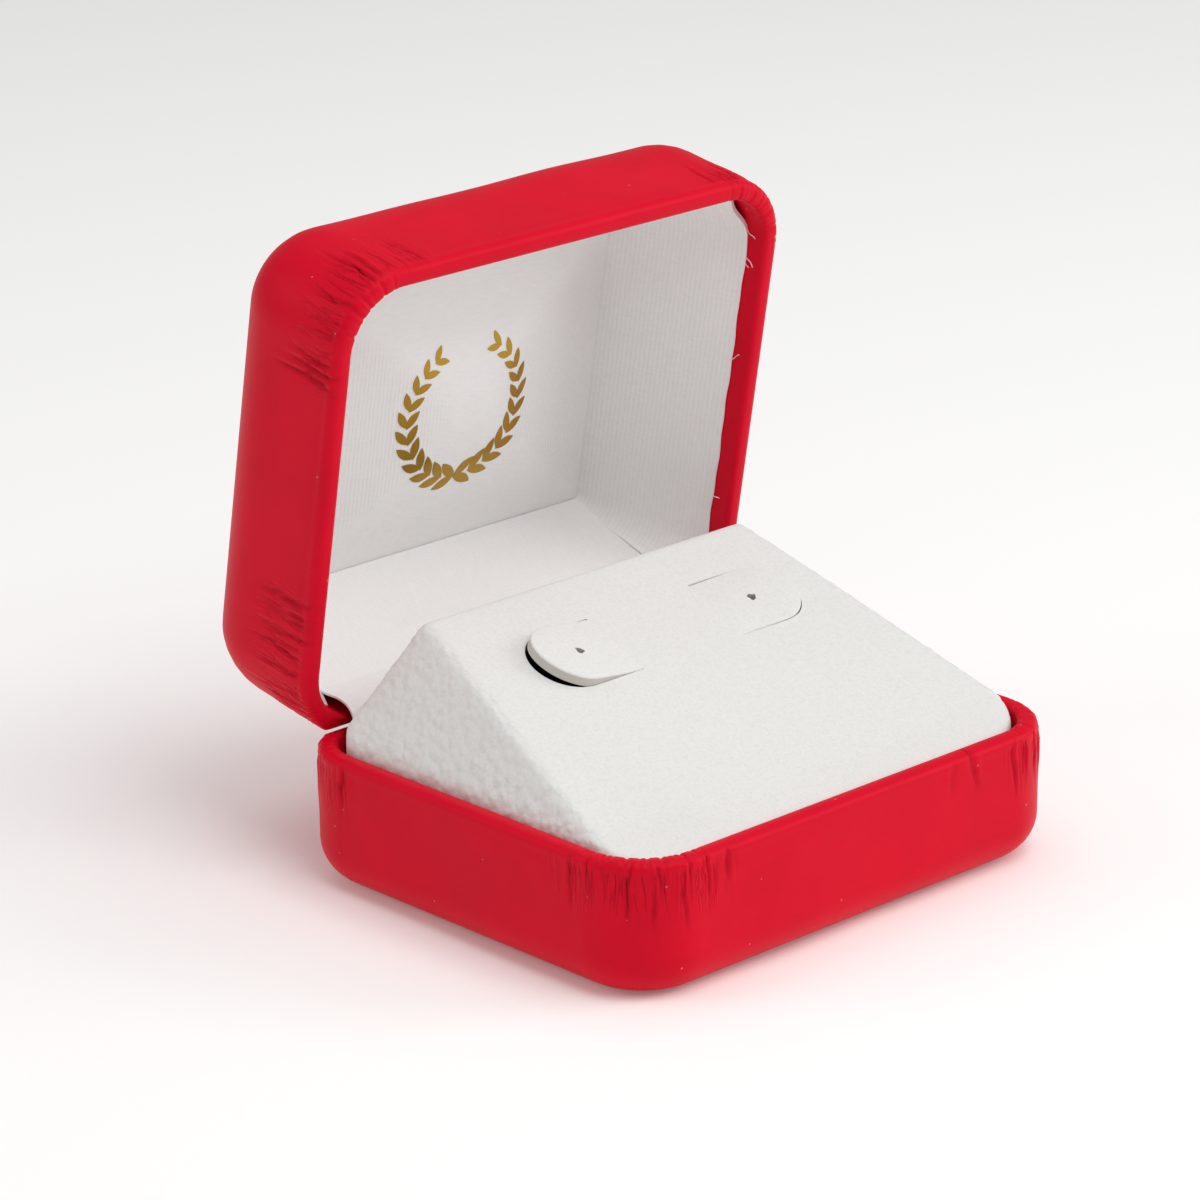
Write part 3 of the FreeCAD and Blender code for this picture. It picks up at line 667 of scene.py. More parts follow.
def fray(points, place, depth, perimeter, ragged):
    """Small bites out of the rim, in the stretches given as (middle, half length)."""
    waves = ((0.21 * MM, 0.0), (0.34 * MM, 2.0), (0.13 * MM, 0.7))
    bite = sum(np.sin(place / wave + shift) for wave, shift in waves)
    bite_depth, rim_depth = 0.05 * MM, 1.2 * MM
    for middle, reach in ragged:
        side = np.abs(gap_round(place, middle, perimeter))
        close = ease((reach - side) / (0.4 * reach)) * (1 - ease(depth / rim_depth))
        points[:, 2] -= close * bite_depth * np.clip(bite, -0.4, 3.0)


def round_back(points, sizes, height, back_round, hinge_centre):
    """Rounds the back rim, and presses the hinge groove in round the barrels."""
    centre = np.array([sizes.case_depth / 2 - back_round, height - back_round])
    off = points[:, 1:] - centre
    span = np.linalg.norm(off, axis=1)
    outer = (off[:, 0] > 0) & (off[:, 1] > 0) & (span > back_round)
    points[outer, 1:] = centre + off[outer] * (back_round / span[outer])[:, None]
    centre = np.array(hinge_centre)
    off = points[:, 1:] - centre
    span = np.maximum(np.linalg.norm(off, axis=1), 1e-9)
    inside = (np.abs(points[:, 0]) < sizes.hinge_half) & (span < sizes.groove)
    points[inside, 1:] = centre + off[inside] * (sizes.groove / span[inside])[:, None]


def drape(piece, sizes, height, edge, back_round, hinge_centre, groups, creases, ragged):
    """Presses in the gathers, the uneven rim and the hinge groove, rounds the back rim, and gives the
    leatherette its thickness."""
    rim_line, rim_line_depth, rim_line_half = 0.06 * MM, 1.4 * MM, 0.4 * MM
    wander, settled = 0.05 * MM, 3 * MM
    points = points_of(piece)
    even_out(points, sizes, height, edge)
    radius = sizes.corner_radius
    flat_x, flat_y = flats(sizes)
    place, normal = around(points, flat_x + radius, flat_y + radius, radius)
    perimeter = 4 * flat_x + 4 * flat_y + 2 * math.pi * radius
    depth = height - points[:, 2]
    reach = np.linalg.norm(points[:, :2] - nearest_flat(points, flat_x, flat_y), axis=1)
    outside = ease((reach - (radius - sizes.wall * 0.8)) / (sizes.wall * 0.4))
    pressed = pressed_in(place, depth, perimeter, creases) * outside
    turn = place / perimeter * 2 * math.pi
    ring = perimeter / (2 * math.pi) / MM
    mark(piece, "crease", np.clip(pressed, 0, 1))
    mark(piece, "gather", gather_weight(place, depth, perimeter, groups) * outside)
    mark(piece, "gather_place", np.column_stack((ring * np.cos(turn), ring * np.sin(turn), depth / MM)))
    down = pressed * sizes.crease_depth + rim_line * outside * bell((depth - rim_line_depth) / rim_line_half)
    swell = wander * (np.sin(6 * turn) + np.sin(11 * turn + 1.3)) * ease(depth / settled)
    points[:, :2] -= normal * (down + swell * outside)[:, None]
    fray(points, place, depth, perimeter, ragged)
    round_back(points, sizes, height, back_round, hinge_centre)
    set_points(piece, points)
    modify(piece, "SOLIDIFY", thickness=sizes.cover, offset=-1.0, use_even_offset=False)
    smooth(piece, 70)


def case_places(sizes):
    """The middles of the four corners, as places round the rim from the middle of the front."""
    flat_x, flat_y = flats(sizes)
    turn = sizes.corner_radius * math.pi / 4
    return {
        "front_right": flat_x + turn,
        "back_right": flat_x + 3 * turn + 2 * flat_y,
        "back_left": 3 * flat_x + 5 * turn + 2 * flat_y,
        "front_left": -flat_x - turn,
    }


def swing(piece, matrix):
    """Moves the mesh by a matrix."""
    piece.data.transform(matrix)
    piece.data.update()


# --- pieces ---

def flap_prism(name, insert, grow, root_grow, top, bottom, segments):
    """The flap's outline as a flat block: its hole at the origin, its round end toward +X, between
    two depths under the slope."""
    root = insert.flap_root + root_grow
    tip = insert.flap_tip + grow
    radius = insert.flap_radius + grow
    piece = new_piece(name, bpy.ops.mesh.primitive_plane_add, size=1,
                      location=((tip - root) / 2, 0, -bottom), scale=(root + tip, 2 * radius, 1))
    edit(piece)
    pick(piece, "VERT", lambda v: v.co.x > 0)
    round_off(radius * 0.999, segments, "VERTICES")
    bpy.ops.mesh.select_all(action="SELECT")
    extrude((0, 0, bottom - top))
    leave_edit()
    face_outward(piece)
    return piece


def to_slope(insert, side):
    """The matrix from a flat flap at the origin to its place on the slope."""
    turn = Matrix.Rotation(math.pi, 4, "Z") if side < 0 else Matrix.Identity(4)
    lean = Matrix.Rotation(slope_angle(insert), 4, "X")
    return Matrix.Translation(hole_place(insert, side)) @ lean @ turn


def carve(piece, tool):
    """Cuts the tool out of the piece and removes the tool."""
    modify(piece, "BOOLEAN", object=tool, operation="DIFFERENCE", solver="EXACT")
    bpy.data.objects.remove(tool)


class JEWELBOX_OT_base_leatherette(bpy.types.Operator):
    """Red leatherette round the base tray, turned in over the rim"""
    bl_idname = "jewelbox.base_leatherette"
    bl_label = "Base leatherette"

    def execute(self, context):
        sizes = context.scene.jewelbox_sizes
        spots = case_places(sizes)
        groups = [(spots["front_left"], 10.5 * MM, 44, 7.0 * MM),
                  (spots["front_right"] - 0.5 * MM, 7.5 * MM, 34, 6.5 * MM),
                  (spots["back_left"] + 1 * MM, 7.5 * MM, 32, 7.5 * MM),
                  (spots["back_right"], 7.5 * MM, 34, 6.0 * MM)]
        # Two single creases, strong and leaning, part way along the front.
        creases = gathers(11, groups) + [(15.3 * MM, -0.4 * MM, 5.2 * MM, 0.24 * MM, 2.0, 0.22),
                                         (12.6 * MM, 0.6 * MM, 4.0 * MM, 0.3 * MM, 0.9, -0.05)]
        piece = wrapped_tray("base_leatherette", sizes, sizes.base_height, sizes.base_edge)
        centre = (hinge_axis(sizes).y, hinge_axis(sizes).z)
        ragged = [(spots["front_left"], 9 * MM), (spots["front_right"], 7 * MM),
                  (spots["back_left"], 6 * MM)]
        drape(piece, sizes, sizes.base_height, sizes.base_edge, sizes.base_back_round, centre,
              groups, creases, ragged)
        finish(piece, "red_calendered_leatherette")
        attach(piece, "base")
        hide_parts("base_cover")
        return {"FINISHED"}


class JEWELBOX_OT_lid_leatherette(bpy.types.Operator):
    """Red leatherette round the lid tray, turned in over the rim"""
    bl_idname = "jewelbox.lid_leatherette"
    bl_label = "Lid leatherette"

    def execute(self, context):
        sizes = context.scene.jewelbox_sizes
        spots = case_places(sizes)
        # Modelled rim up and then turned over sideways, so left and right change places here.
        groups = [(spots["front_right"], 10.5 * MM, 44, 8.5 * MM),
                  (spots["front_left"], 8.0 * MM, 34, 6.5 * MM),
                  (spots["back_right"] - 5 * MM, 10.0 * MM, 42, 10.0 * MM),
                  (spots["back_left"], 7.5 * MM, 30, 6.0 * MM)]
        creases = gathers(23, groups)
        piece = wrapped_tray("lid_leatherette", sizes, sizes.lid_height, sizes.lid_edge)
        top = lid_rim(sizes) + sizes.lid_height
        centre = (hinge_axis(sizes).y, top - hinge_axis(sizes).z)
        ragged = [(spots["front_right"], 6 * MM), (spots["front_left"], 8 * MM)]
        drape(piece, sizes, sizes.lid_height, sizes.lid_edge, sizes.lid_back_round, centre,
              groups, creases, ragged)
        over = Matrix.Translation((0, 0, top)) @ Matrix.Rotation(math.pi, 4, "Y")
        swing(piece, opened(sizes) @ over)
        finish(piece, "red_calendered_leatherette")
        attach(piece, "lid")
        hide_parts("lid_cover")
        return {"FINISHED"}


class JEWELBOX_OT_insert(bpy.types.Operator):
    """Padded wedge insert with two die-cut slots over its pockets"""
    bl_idname = "jewelbox.insert"
    bl_label = "Padded insert"

    def execute(self, context):
        insert = context.scene.jewelbox_insert
        angle = slope_angle(insert)
        ridge = (0, insert.ridge_back, insert.ridge_height)
        middle = (0, (insert.back - insert.front) / 2, (insert.bottom + insert.ridge_height) / 2)
        size = (2 * insert.half_width, insert.back + insert.front, insert.ridge_height - insert.bottom)
        piece = new_piece("insert_padded", bpy.ops.mesh.primitive_cube_add, size=1, location=middle,
                          scale=size)
        edit(piece)
        pick(piece, "EDGE", lambda e: along(e, 2, 5 * MM) and e.verts[0].co.y < 0)
        round_off(insert.front_corner, 16)
        pick(piece, "EDGE", lambda e: along(e, 2, 5 * MM) and e.verts[0].co.y > insert.back - 1e-6)
        round_off(insert.back_corner, 10)
        rise = insert.ridge_height - insert.foot_height
        cuts = [(ridge, (0, -math.sin(angle), math.cos(angle))),
                (ridge, (0, rise, insert.back - insert.ridge_back))]
        for side in (-1, 1):
            cuts.append(((side * insert.ridge_half, 0, insert.ridge_height),
                         (side * rise, 0, insert.half_width - insert.ridge_half)))
        for point, outward in cuts:
            bpy.ops.mesh.select_all(action="SELECT")
            bpy.ops.mesh.bisect(plane_co=point, plane_no=Vector(outward).normalized(), use_fill=True,
                                clear_outer=True, threshold=1e-7)
        leave_edit()
        modify(piece, "REMESH", mode="VOXEL", voxel_size=0.42 * MM)
        modify(piece, "SMOOTH", factor=0.5, iterations=9)
        self.pad(piece, insert)
        # Each slot is the cut round its flap, wider at the flap's tip, over a smaller and deeper pocket.
        cut = (insert.slit, -0.08 * MM, -2 * MM, insert.flap_thickness + insert.slit, 1.5 * insert.slit)
        pocket = (-0.3 * MM, -0.3 * MM, insert.flap_thickness / 2, 8.0 * MM, 0.0)
        for side in (-1, 1):
            for grow, root_grow, top, bottom, tip_grow in (cut, pocket):
                tool = flap_prism("slot_tool", insert, grow, root_grow, top, bottom, 20)
                points = points_of(tool)
                points[:, 0] += np.where(points[:, 0] > insert.flap_tip / 2, tip_grow, 0)
                set_points(tool, points)
                swing(tool, to_slope(insert, side))
                carve(piece, tool)
        finish(piece, "white_pebbled_leatherette", "pressed_grey_board", "black_cell_foam")
        self.paint_slots(piece, insert)
        smooth(piece, 45)
        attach(piece, "base")
        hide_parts("insert_cover", "insert_slope_card", "insert_core")
        return {"FINISHED"}

    def pad(self, piece, insert):
        """Soft unevenness: the sides swell a little and fill out to the rim, and the slope sinks toward
        its front left."""
        swell, foot_out, sink = 0.35 * MM, 0.3 * MM, 0.85 * MM
        x, y, z = points_of(piece).T
        out = ease((np.abs(x) - insert.ridge_half + 1 * MM) / (2 * MM))
        middle = np.clip(1 - ((y + 4 * MM) / (20 * MM)) ** 2, 0, 1)
        foot = ease((insert.foot_height + 4 * MM - z) / (4 * MM))
        x = x + np.sign(x) * out * (swell * middle * (1 - foot) + foot_out * foot)
        top = ease((z - insert.front_height + 2 * MM) / (2 * MM))
        left = ease((-x - 13 * MM) / (11 * MM))
        front = ease((3 * MM - y) / (20 * MM))
        z = z - top * sink * left * front * ease((y + 24 * MM) / (6 * MM))
        set_points(piece, np.column_stack((x, y, z)))
        side = np.abs(x) - insert.ridge_half - (insert.ridge_height - z) * (
            (insert.half_width - insert.ridge_half) / (insert.ridge_height - insert.foot_height))
        mark(piece, "pebble", 0.12 + 0.88 * ease(side / (0.8 * MM) + 1.2))

    def paint_slots(self, piece, insert):
        """Grey board at the cut edge just under the skin, black foam below."""
        margin, skin = 0.3 * MM, 0.25 * MM
        angle = slope_angle(insert)
        upward = Vector((0, -math.sin(angle), math.cos(angle)))
        for face in piece.data.polygons:
            for side in (-1, 1):
                local = to_slope(insert, side).inverted() @ face.center
                inside = (-insert.flap_root - margin < local.x < insert.flap_tip + margin
                          and abs(local.y) < insert.flap_radius + margin)
                if inside and local.z < -skin and face.center.z > insert.bottom + 1 * MM:
                    deep = local.z < -insert.flap_thickness / 2 or face.normal.dot(upward) > 0.5
                    face.material_index = 2 if deep else 1


class JEWELBOX_OT_flaps(bpy.types.Operator):
    """The two die-cut flaps with their pin holes"""
    bl_idname = "jewelbox.flaps"
    bl_label = "Flaps"

    def execute(self, context):
        insert = context.scene.jewelbox_insert
        angle = slope_angle(insert)
        fold_line = Vector((0, math.cos(angle), math.sin(angle)))
        stations, flap_length = 12, insert.flap_root + insert.flap_tip
        for side, name, lift in ((-1, "left_flap", insert.left_lift), (1, "right_flap", insert.right_lift)):
            piece = flap_prism(name + "_piece", insert, 0.0, 0.0, 0.0, insert.flap_thickness, 24)
            edit(piece)
            pick(piece, "EDGE", lambda e: level(e, 0.0)
                 and max(v.co.x for v in e.verts) > -insert.flap_root + 0.1 * MM)
            round_off(0.2 * MM, 3)
            for station in range(1, stations):
                bpy.ops.mesh.select_all(action="SELECT")
                where = -insert.flap_root + station / stations * flap_length
                bpy.ops.mesh.bisect(plane_co=(where, 0, 0), plane_no=(1, 0, 0), threshold=1e-7)
            leave_edit()
            tool = new_piece("hole_tool", bpy.ops.mesh.primitive_cone_add, vertices=14,
                             radius1=insert.hole_radius * 0.7, radius2=insert.hole_radius * 1.1,
                             depth=4 * MM, location=(0, 0, -0.6 * MM))
            points = points_of(tool)
            turn = np.arctan2(points[:, 1], points[:, 0])
            points[:, :2] *= (1 + 0.16 * np.sin(3 * turn + side) + 0.1 * np.sin(5 * turn))[:, None]
            set_points(tool, points)
            carve(piece, tool)
            finish(piece, "white_pebbled_leatherette", "pressed_grey_board")
            for face in piece.data.polygons:
                face.material_index = 1 if face.normal.z < 0.2 else 0
            # The flap has been lifted before, so it curls up a little toward its tip.
            points = points_of(piece)
            share = np.clip((points[:, 0] + insert.flap_root) / flap_length, 0, 1)
            points[:, 2] += insert.curl * (1.0 if side < 0 else 0.35) * share ** 2
            set_points(piece, points)
            fold = hole_place(insert, side) - Vector((side * insert.flap_root, 0, 0))
            lifted = (Matrix.Translation(fold) @ Matrix.Rotation(-side * lift, 4, fold_line)
                      @ Matrix.Translation(-fold))
            swing(piece, lifted @ to_slope(insert, side))
            smooth(piece, 40)
            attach(piece, name)
            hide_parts(name)
        return {"FINISHED"}


# --- lid lining, closed ---

def panel_level(sizes, lining):
    """Height of the puffed panel's card face, with the lid closed."""
    return lid_rim(sizes) + sizes.lid_height - lining.panel_from_top


def puff_rise(lining, x, y):
    """How far the puffed satin stands off its card: four soft facets that meet in creases toward the
    corners."""
    flat_middle, facet, swell, power = 2.5 * MM, 0.6, 0.4, 12.0
    share_x = (lining.panel_half_x - np.abs(x)) / (lining.panel_half_x - flat_middle)
    share_y = (lining.panel_half_y - np.abs(y)) / (lining.panel_half_y - flat_middle)
    share_x, share_y = np.clip(share_x, 0, None), np.clip(share_y, 0, None)
    met = (np.maximum(share_x, 1e-4) ** -power + np.maximum(share_y, 1e-4) ** -power) ** (-1 / power)
    lower = np.clip(np.where(np.minimum(share_x, share_y) > 1e-4, met, 0), 0, 1)
    return lining.puff * (facet * lower + swell * np.sin(lower * math.pi / 2))


class JEWELBOX_OT_puffed_panel(bpy.types.Operator):
    """Satin drawn over wadding in the lid: a puffed panel with four facets"""
    bl_idname = "jewelbox.puffed_panel"
    bl_label = "Puffed panel"

    def execute(self, context):
        sizes, lining = context.scene.jewelbox_sizes, context.scene.jewelbox_lining
        top = panel_level(sizes, lining)
        piece = new_piece("lining_puff", bpy.ops.mesh.primitive_grid_add, size=1, location=(0, 0, top),
                          x_subdivisions=130, y_subdivisions=104,
                          scale=(2 * lining.panel_half_x, 2 * lining.panel_half_y, 1))
        points = points_of(piece)
        points[:, 2] -= puff_rise(lining, points[:, 0], points[:, 1])
        set_points(piece, points)
        set_uv(piece, points[:, 0], points[:, 1])
        lean = np.abs(points[:, 0]) / lining.panel_half_x - np.abs(points[:, 1]) / lining.panel_half_y
        mark(piece, "ribbed", ease(lean / 0.3 + 0.5) * ease(np.abs(points[:, 0]) / (9 * MM)))
        edit(piece)
        bpy.ops.mesh.flip_normals()
        pick(piece, "EDGE", lambda e: e.is_boundary)
        extrude((0, 0, 0.1 * MM))
        bpy.ops.mesh.edge_face_add()
        leave_edit()
        finish(piece, "satin_weave_upright")
        swing(piece, opened(sizes))
        smooth(piece, 60)
        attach(piece, "lid")
        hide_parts("lining_puff_satin", "lining_wadding")
        return {"FINISHED"}


class JEWELBOX_OT_lining_walls(bpy.types.Operator):
    """Satin-covered card round the left, front and right of the lid"""
    bl_idname = "jewelbox.lining_walls"
    bl_label = "Lining walls"

    def execute(self, context):
        sizes, lining = context.scene.jewelbox_sizes, context.scene.jewelbox_lining
        low, top = lid_rim(sizes) + lining.recess, panel_level(sizes, lining)
        inset = sizes.wall + lining.gap
        half_x, half_y = sizes.case_width / 2 - inset, sizes.case_depth / 2 - inset
        corner = sizes.corner_radius - inset
        piece = new_piece("lining_walls", bpy.ops.mesh.primitive_plane_add, size=1, location=(0, 0, low),
                          scale=(2 * half_x, 2 * half_y, 1))
        edit(piece)
        round_off(corner, 14, "VERTICES")
        bpy.ops.mesh.select_all(action="SELECT")
        extrude((0, 0, top - low))
        bpy.ops.mesh.delete(type="ONLY_FACE")
        pick(piece, "FACE", lambda f: abs(f.normal.z) > 0.9)
        bpy.ops.mesh.delete(type="ONLY_FACE")
        for axis in (0, 1):
            divide(piece, 39, lambda e: along(e, axis, 20 * MM))
        divide(piece, 19, lambda e: along(e, 2, 5 * MM))
        leave_edit()
        points = points_of(piece)
        place, normal = around(points, half_x, half_y, corner)
        flat_x, flat_y = half_x - corner, half_y - corner
        share = (points[:, 2] - low) / (top - low)
        near = nearest_flat(points, flat_x, flat_y)
        panel_corner = 1.2 * MM
        inner_flat = np.array([lining.panel_half_x, lining.panel_half_y]) - panel_corner
        inner = near / np.array([flat_x, flat_y]) * inner_flat + normal * panel_corner
        points[:, :2] += share[:, None] * (inner - points[:, :2])
        # The cut edge wavers a little, and peels away from the turn-in at the front right corner.
        peel_up, peel_in, swell_in = 0.5 * MM, 0.9 * MM, 0.12 * MM
        edge = (1 - share) ** 2
        waver = 0.06 * MM * np.sin(place / (1.9 * MM)) + 0.05 * MM * np.sin(place / (0.7 * MM))
        peel = bell((place - flat_x - corner * 0.9) / (2.6 * MM)) * edge ** 2
        points[:, 2] += edge ** 3 * waver + peel_up * peel
        points[:, :2] -= normal * (peel_in * peel)[:, None]
        swell = swell_in * np.sin(share * math.pi)
        points[:, :2] -= normal * swell[:, None]
        set_points(piece, points)
        set_uv(piece, place, points[:, 2] - low)
        mark(piece, "ribbed", np.full(len(points), 0.9))
        edit(piece)
        pick(piece, "FACE", lambda f: f.normal.y ** 2 > 0.6 and f.calc_center_median().y > 0
             and abs(f.calc_center_median().x) < lining.strip_half)
        bpy.ops.mesh.delete(type="FACE")
        leave_edit()
        face_outward(piece)
        piece.data.update()
        self.face_inward(piece)
        modify(piece, "SOLIDIFY", thickness=lining.card, offset=-1.0)
        finish(piece, "satin_weave_round")
        swing(piece, opened(sizes))
        smooth(piece, 50)
        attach(piece, "lid")
        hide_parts("lining_wall_band")
        self.loose_threads(sizes, half_x, half_y, low)
        return {"FINISHED"}

    def loose_threads(self, sizes, half_x, half_y, low):
        """Frayed warp ends at the lining's cut edge along the right of the lid."""
        draw = random.Random(5)
        threads = []
        front = (half_y - 5.0 * MM, half_y - 7.6 * MM, half_y - 8.3 * MM)
        for place in (*front, 3.5 * MM, -half_y + 11.0 * MM):
            thread = new_piece("loose_thread", bpy.ops.mesh.primitive_cylinder_add, vertices=6,
                               radius=0.055 * MM, depth=draw.uniform(1.1, 1.9) * MM, end_fill_type="NGON")
            edit(thread)
            divide(thread, 7, lambda e: along(e, 2, 0.5 * MM))
            leave_edit()
            points = points_of(thread)
            run = points[:, 2] - points[:, 2].min()
            curl, lean = draw.uniform(0.3, 0.8), draw.uniform(-0.7, 0.7)
            wave = curl * 0.2 * MM * np.sin(run / (0.3 * MM))
            bent = np.column_stack((half_x - 0.01 * MM - curl * 0.08 * run + points[:, 0],
                                    -place + lean * run + wave + points[:, 1],
                                    low + 0.25 * MM - 0.8 * run))
            set_points(thread, bent)
            threads.append(thread)
        piece = join(threads, "loose_threads")
        set_uv(piece, points_of(piece)[:, 1], points_of(piece)[:, 2])
        finish(piece, "satin_weave_round")
        swing(piece, opened(sizes))
        smooth(piece, 60)
        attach(piece, "lid")

    def face_inward(self, piece):
        """Turns the sheet so that its shown side faces the middle of the lid."""
        face = max(piece.data.polygons, key=lambda f: f.center.x)
        if face.normal.x > 0:
            piece.data.flip_normals()


class JEWELBOX_OT_hinge_satin(bpy.types.Operator):
    """Satin from the puffed panel down the hinge side of the lid, over the barrels and into the base"""
    bl_idname = "jewelbox.hinge_satin"
    bl_label = "Hinge satin"

    def execute(self, context):
        sizes, lining = context.scene.jewelbox_sizes, context.scene.jewelbox_lining
        axis = hinge_axis(sizes)
        foot = Vector((0, axis.y - lining.strip_radius, sizes.base_height - lining.strip_foot))
        low, top = lid_rim(sizes) + lining.recess, panel_level(sizes, lining)
        back = sizes.case_depth / 2 - sizes.wall - lining.gap
        slant = Vector((0, lining.panel_half_y - back, top - low)).normalized()
        inward = Vector((0, -slant.z, slant.y))
        clear, lap, pull = 0.35 * MM, 3.0 * MM, 1.3 * MM
        wall_low = opened(sizes) @ (Vector((0, back, low)) + inward * clear)
        wall_top = opened(sizes) @ (Vector((0, lining.panel_half_y, top)) + inward * clear)
        along_wall = (wall_top - wall_low).normalized()
        turn_in = wall_low + along_wall * lap
        path = [foot, Vector((0, foot.y, axis.z))]
        for number in range(1, 7):
            angle = math.radians(180 - 13 * number)
            path.append(axis + Vector((0, math.cos(angle), math.sin(angle))) * lining.strip_radius)
        # A smooth curve from the barrels to the wall, pulled along both.
        last, ahead = path[-1], (path[-1] - path[-2]).normalized()
        one, two = last + ahead * pull, turn_in - along_wall * pull
        for number in range(1, 6):
            t = number / 5
            start = (1 - t) ** 3 * last + 3 * t * (1 - t) ** 2 * one
            path.append(start + 3 * t * t * (1 - t) * two + t ** 3 * turn_in)
        path.append(wall_top)
        self.build(path, lining, turn_in, wall_top)
        return {"FINISHED"}

    def build(self, path, lining, turn_in, wall_top):
        """A strip of cloth along the path, in the open position."""
        half = lining.strip_half
        piece = new_piece("hinge_satin", bpy.ops.mesh.primitive_plane_add, size=1, location=path[0],
                          scale=(2 * half, 1 * MM, 1))
        edit(piece)
        pick(piece, "VERT", lambda v: v.co.y < path[0].y)
        bpy.ops.mesh.delete(type="VERT")
        bpy.ops.mesh.select_all(action="SELECT")
        for before, after in zip(path[:-1], path[1:]):
            extrude(after - before)
        divide(piece, 47, lambda e: along(e, 0, 2 * MM))
        leave_edit()
        points = points_of(piece)
        lengths = [0.0]
        for before, after in zip(path[:-1], path[1:]):
            lengths.append(lengths[-1] + (after - before).length)
        points[:, 1] -= points[:, 1].min() - min(p.y for p in path)
        nodes = np.array([[p.y, p.z] for p in path])
        nearest = np.argmin(np.linalg.norm(points[:, None, 1:] - nodes[None], axis=2), axis=1)
        points[:, 1:] = nodes[nearest]
        run = np.array(lengths)[nearest]
        narrow = np.where(nearest == len(path) - 1, lining.panel_half_x / half, 1.0)
        points[:, 0] *= narrow
        set_points(piece, points)
        set_uv(piece, points[:, 0], run)
        mark(piece, "ribbed", np.full(len(points), 0.35))
        modify(piece, "SUBSURF", levels=2, subdivision_type="SIMPLE")
        modify(piece, "SOLIDIFY", thickness=lining.satin, offset=0.0)
        finish(piece, "satin_weave_round")
        smooth(piece, 70)
        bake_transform(piece)
        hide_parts("hinge_cover", "lining_wall_hinge")


class JEWELBOX_OT_foil_wreath(bpy.types.Operator):
    """Hot-stamped gold wreath of small leaves on the puffed panel"""
    bl_idname = "jewelbox.foil_wreath"
    bl_label = "Foil wreath"

    def execute(self, context):
        sizes, lining = context.scene.jewelbox_sizes, context.scene.jewelbox_lining
        leaf = self.leaf(lining)
        copies = []
        count, opening, foot = 11, math.radians(30), math.radians(9)
        tilt, shift, dwindle = math.radians(34), 0.75 * MM, 0.35
        for mirror in (-1, 1):
            for number in range(count):
                turn = math.pi / 2 + mirror * (foot + (math.pi - opening - foot) * number / (count - 1))
                size = 1.0 - dwindle * number / (count - 1)
                for way in (1, -1):
                    radius = lining.wreath_radius + way * shift * size
                    place = Vector((math.cos(turn), math.sin(turn), 0)) * radius
                    heading = Matrix.Rotation(turn + mirror * (math.pi / 2 - way * tilt), 4, "Z")
                    copy = leaf.copy()
                    copy.data = leaf.data.copy()
                    context.collection.objects.link(copy)
                    copy.data.transform(Matrix.Translation(place) @ heading @ Matrix.Scale(size, 4))
                    copies.append(copy)
        bpy.data.objects.remove(leaf)
        piece = join(copies, "foil_wreath")
        points = points_of(piece)
        points[:, 2] = (panel_level(sizes, lining) - puff_rise(lining, points[:, 0], points[:, 1])
                        - lining.foil * 0.6)
        set_points(piece, points)
        face_outward(piece)
        modify(piece, "SOLIDIFY", thickness=lining.foil, offset=0.0)
        finish(piece, "hot_stamped_gold_foil")
        swing(piece, opened(sizes))
        smooth(piece, 40)
        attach(piece, "lid")
        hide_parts("foil_ornament")
        return {"FINISHED"}

    def leaf(self, lining):
        """One flat pointed leaf, a little bowed."""
        leaf = new_piece("foil_leaf", bpy.ops.mesh.primitive_circle_add, vertices=24,
                         radius=lining.leaf_length / 2, fill_type="TRIFAN", location=(0, 0, 0))
        points = points_of(leaf)
        share = points[:, 0] / (lining.leaf_length / 2)
        points[:, 1] = np.sign(points[:, 1]) * (1 - share ** 2) * lining.leaf_width / 2
        points[:, 1] += 0.12 * MM * share ** 2
        set_points(leaf, points)
        edit(leaf)
        bpy.ops.mesh.subdivide(number_cuts=2)
        leave_edit()
        return leaf


class JEWELBOX_OT_metal_and_board(bpy.types.Operator):
    """Finishes of the steel trays, the hinge, the spring and the boards"""
    bl_idname = "jewelbox.metal_and_board"
    bl_label = "Metal and board"

    def execute(self, context):
        finishes = {
            "base_shell": "zinc_plated_steel", "lid_shell": "zinc_plated_steel",
            "hinge_leaf_base": "nickel_plated_steel", "hinge_leaf_lid": "nickel_plated_steel",
            "hinge_pin": "nickel_plated_steel", "hinge_rivets_base": "nickel_plated_steel",
            "hinge_rivets_lid": "nickel_plated_steel", "snap_spring": "tempered_spring_steel",
            "insert_base_card": "pressed_grey_board", "lining_card": "pressed_grey_board",
        }
        for node, material in finishes.items():
            finish(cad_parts[node], material)
        return {"FINISHED"}


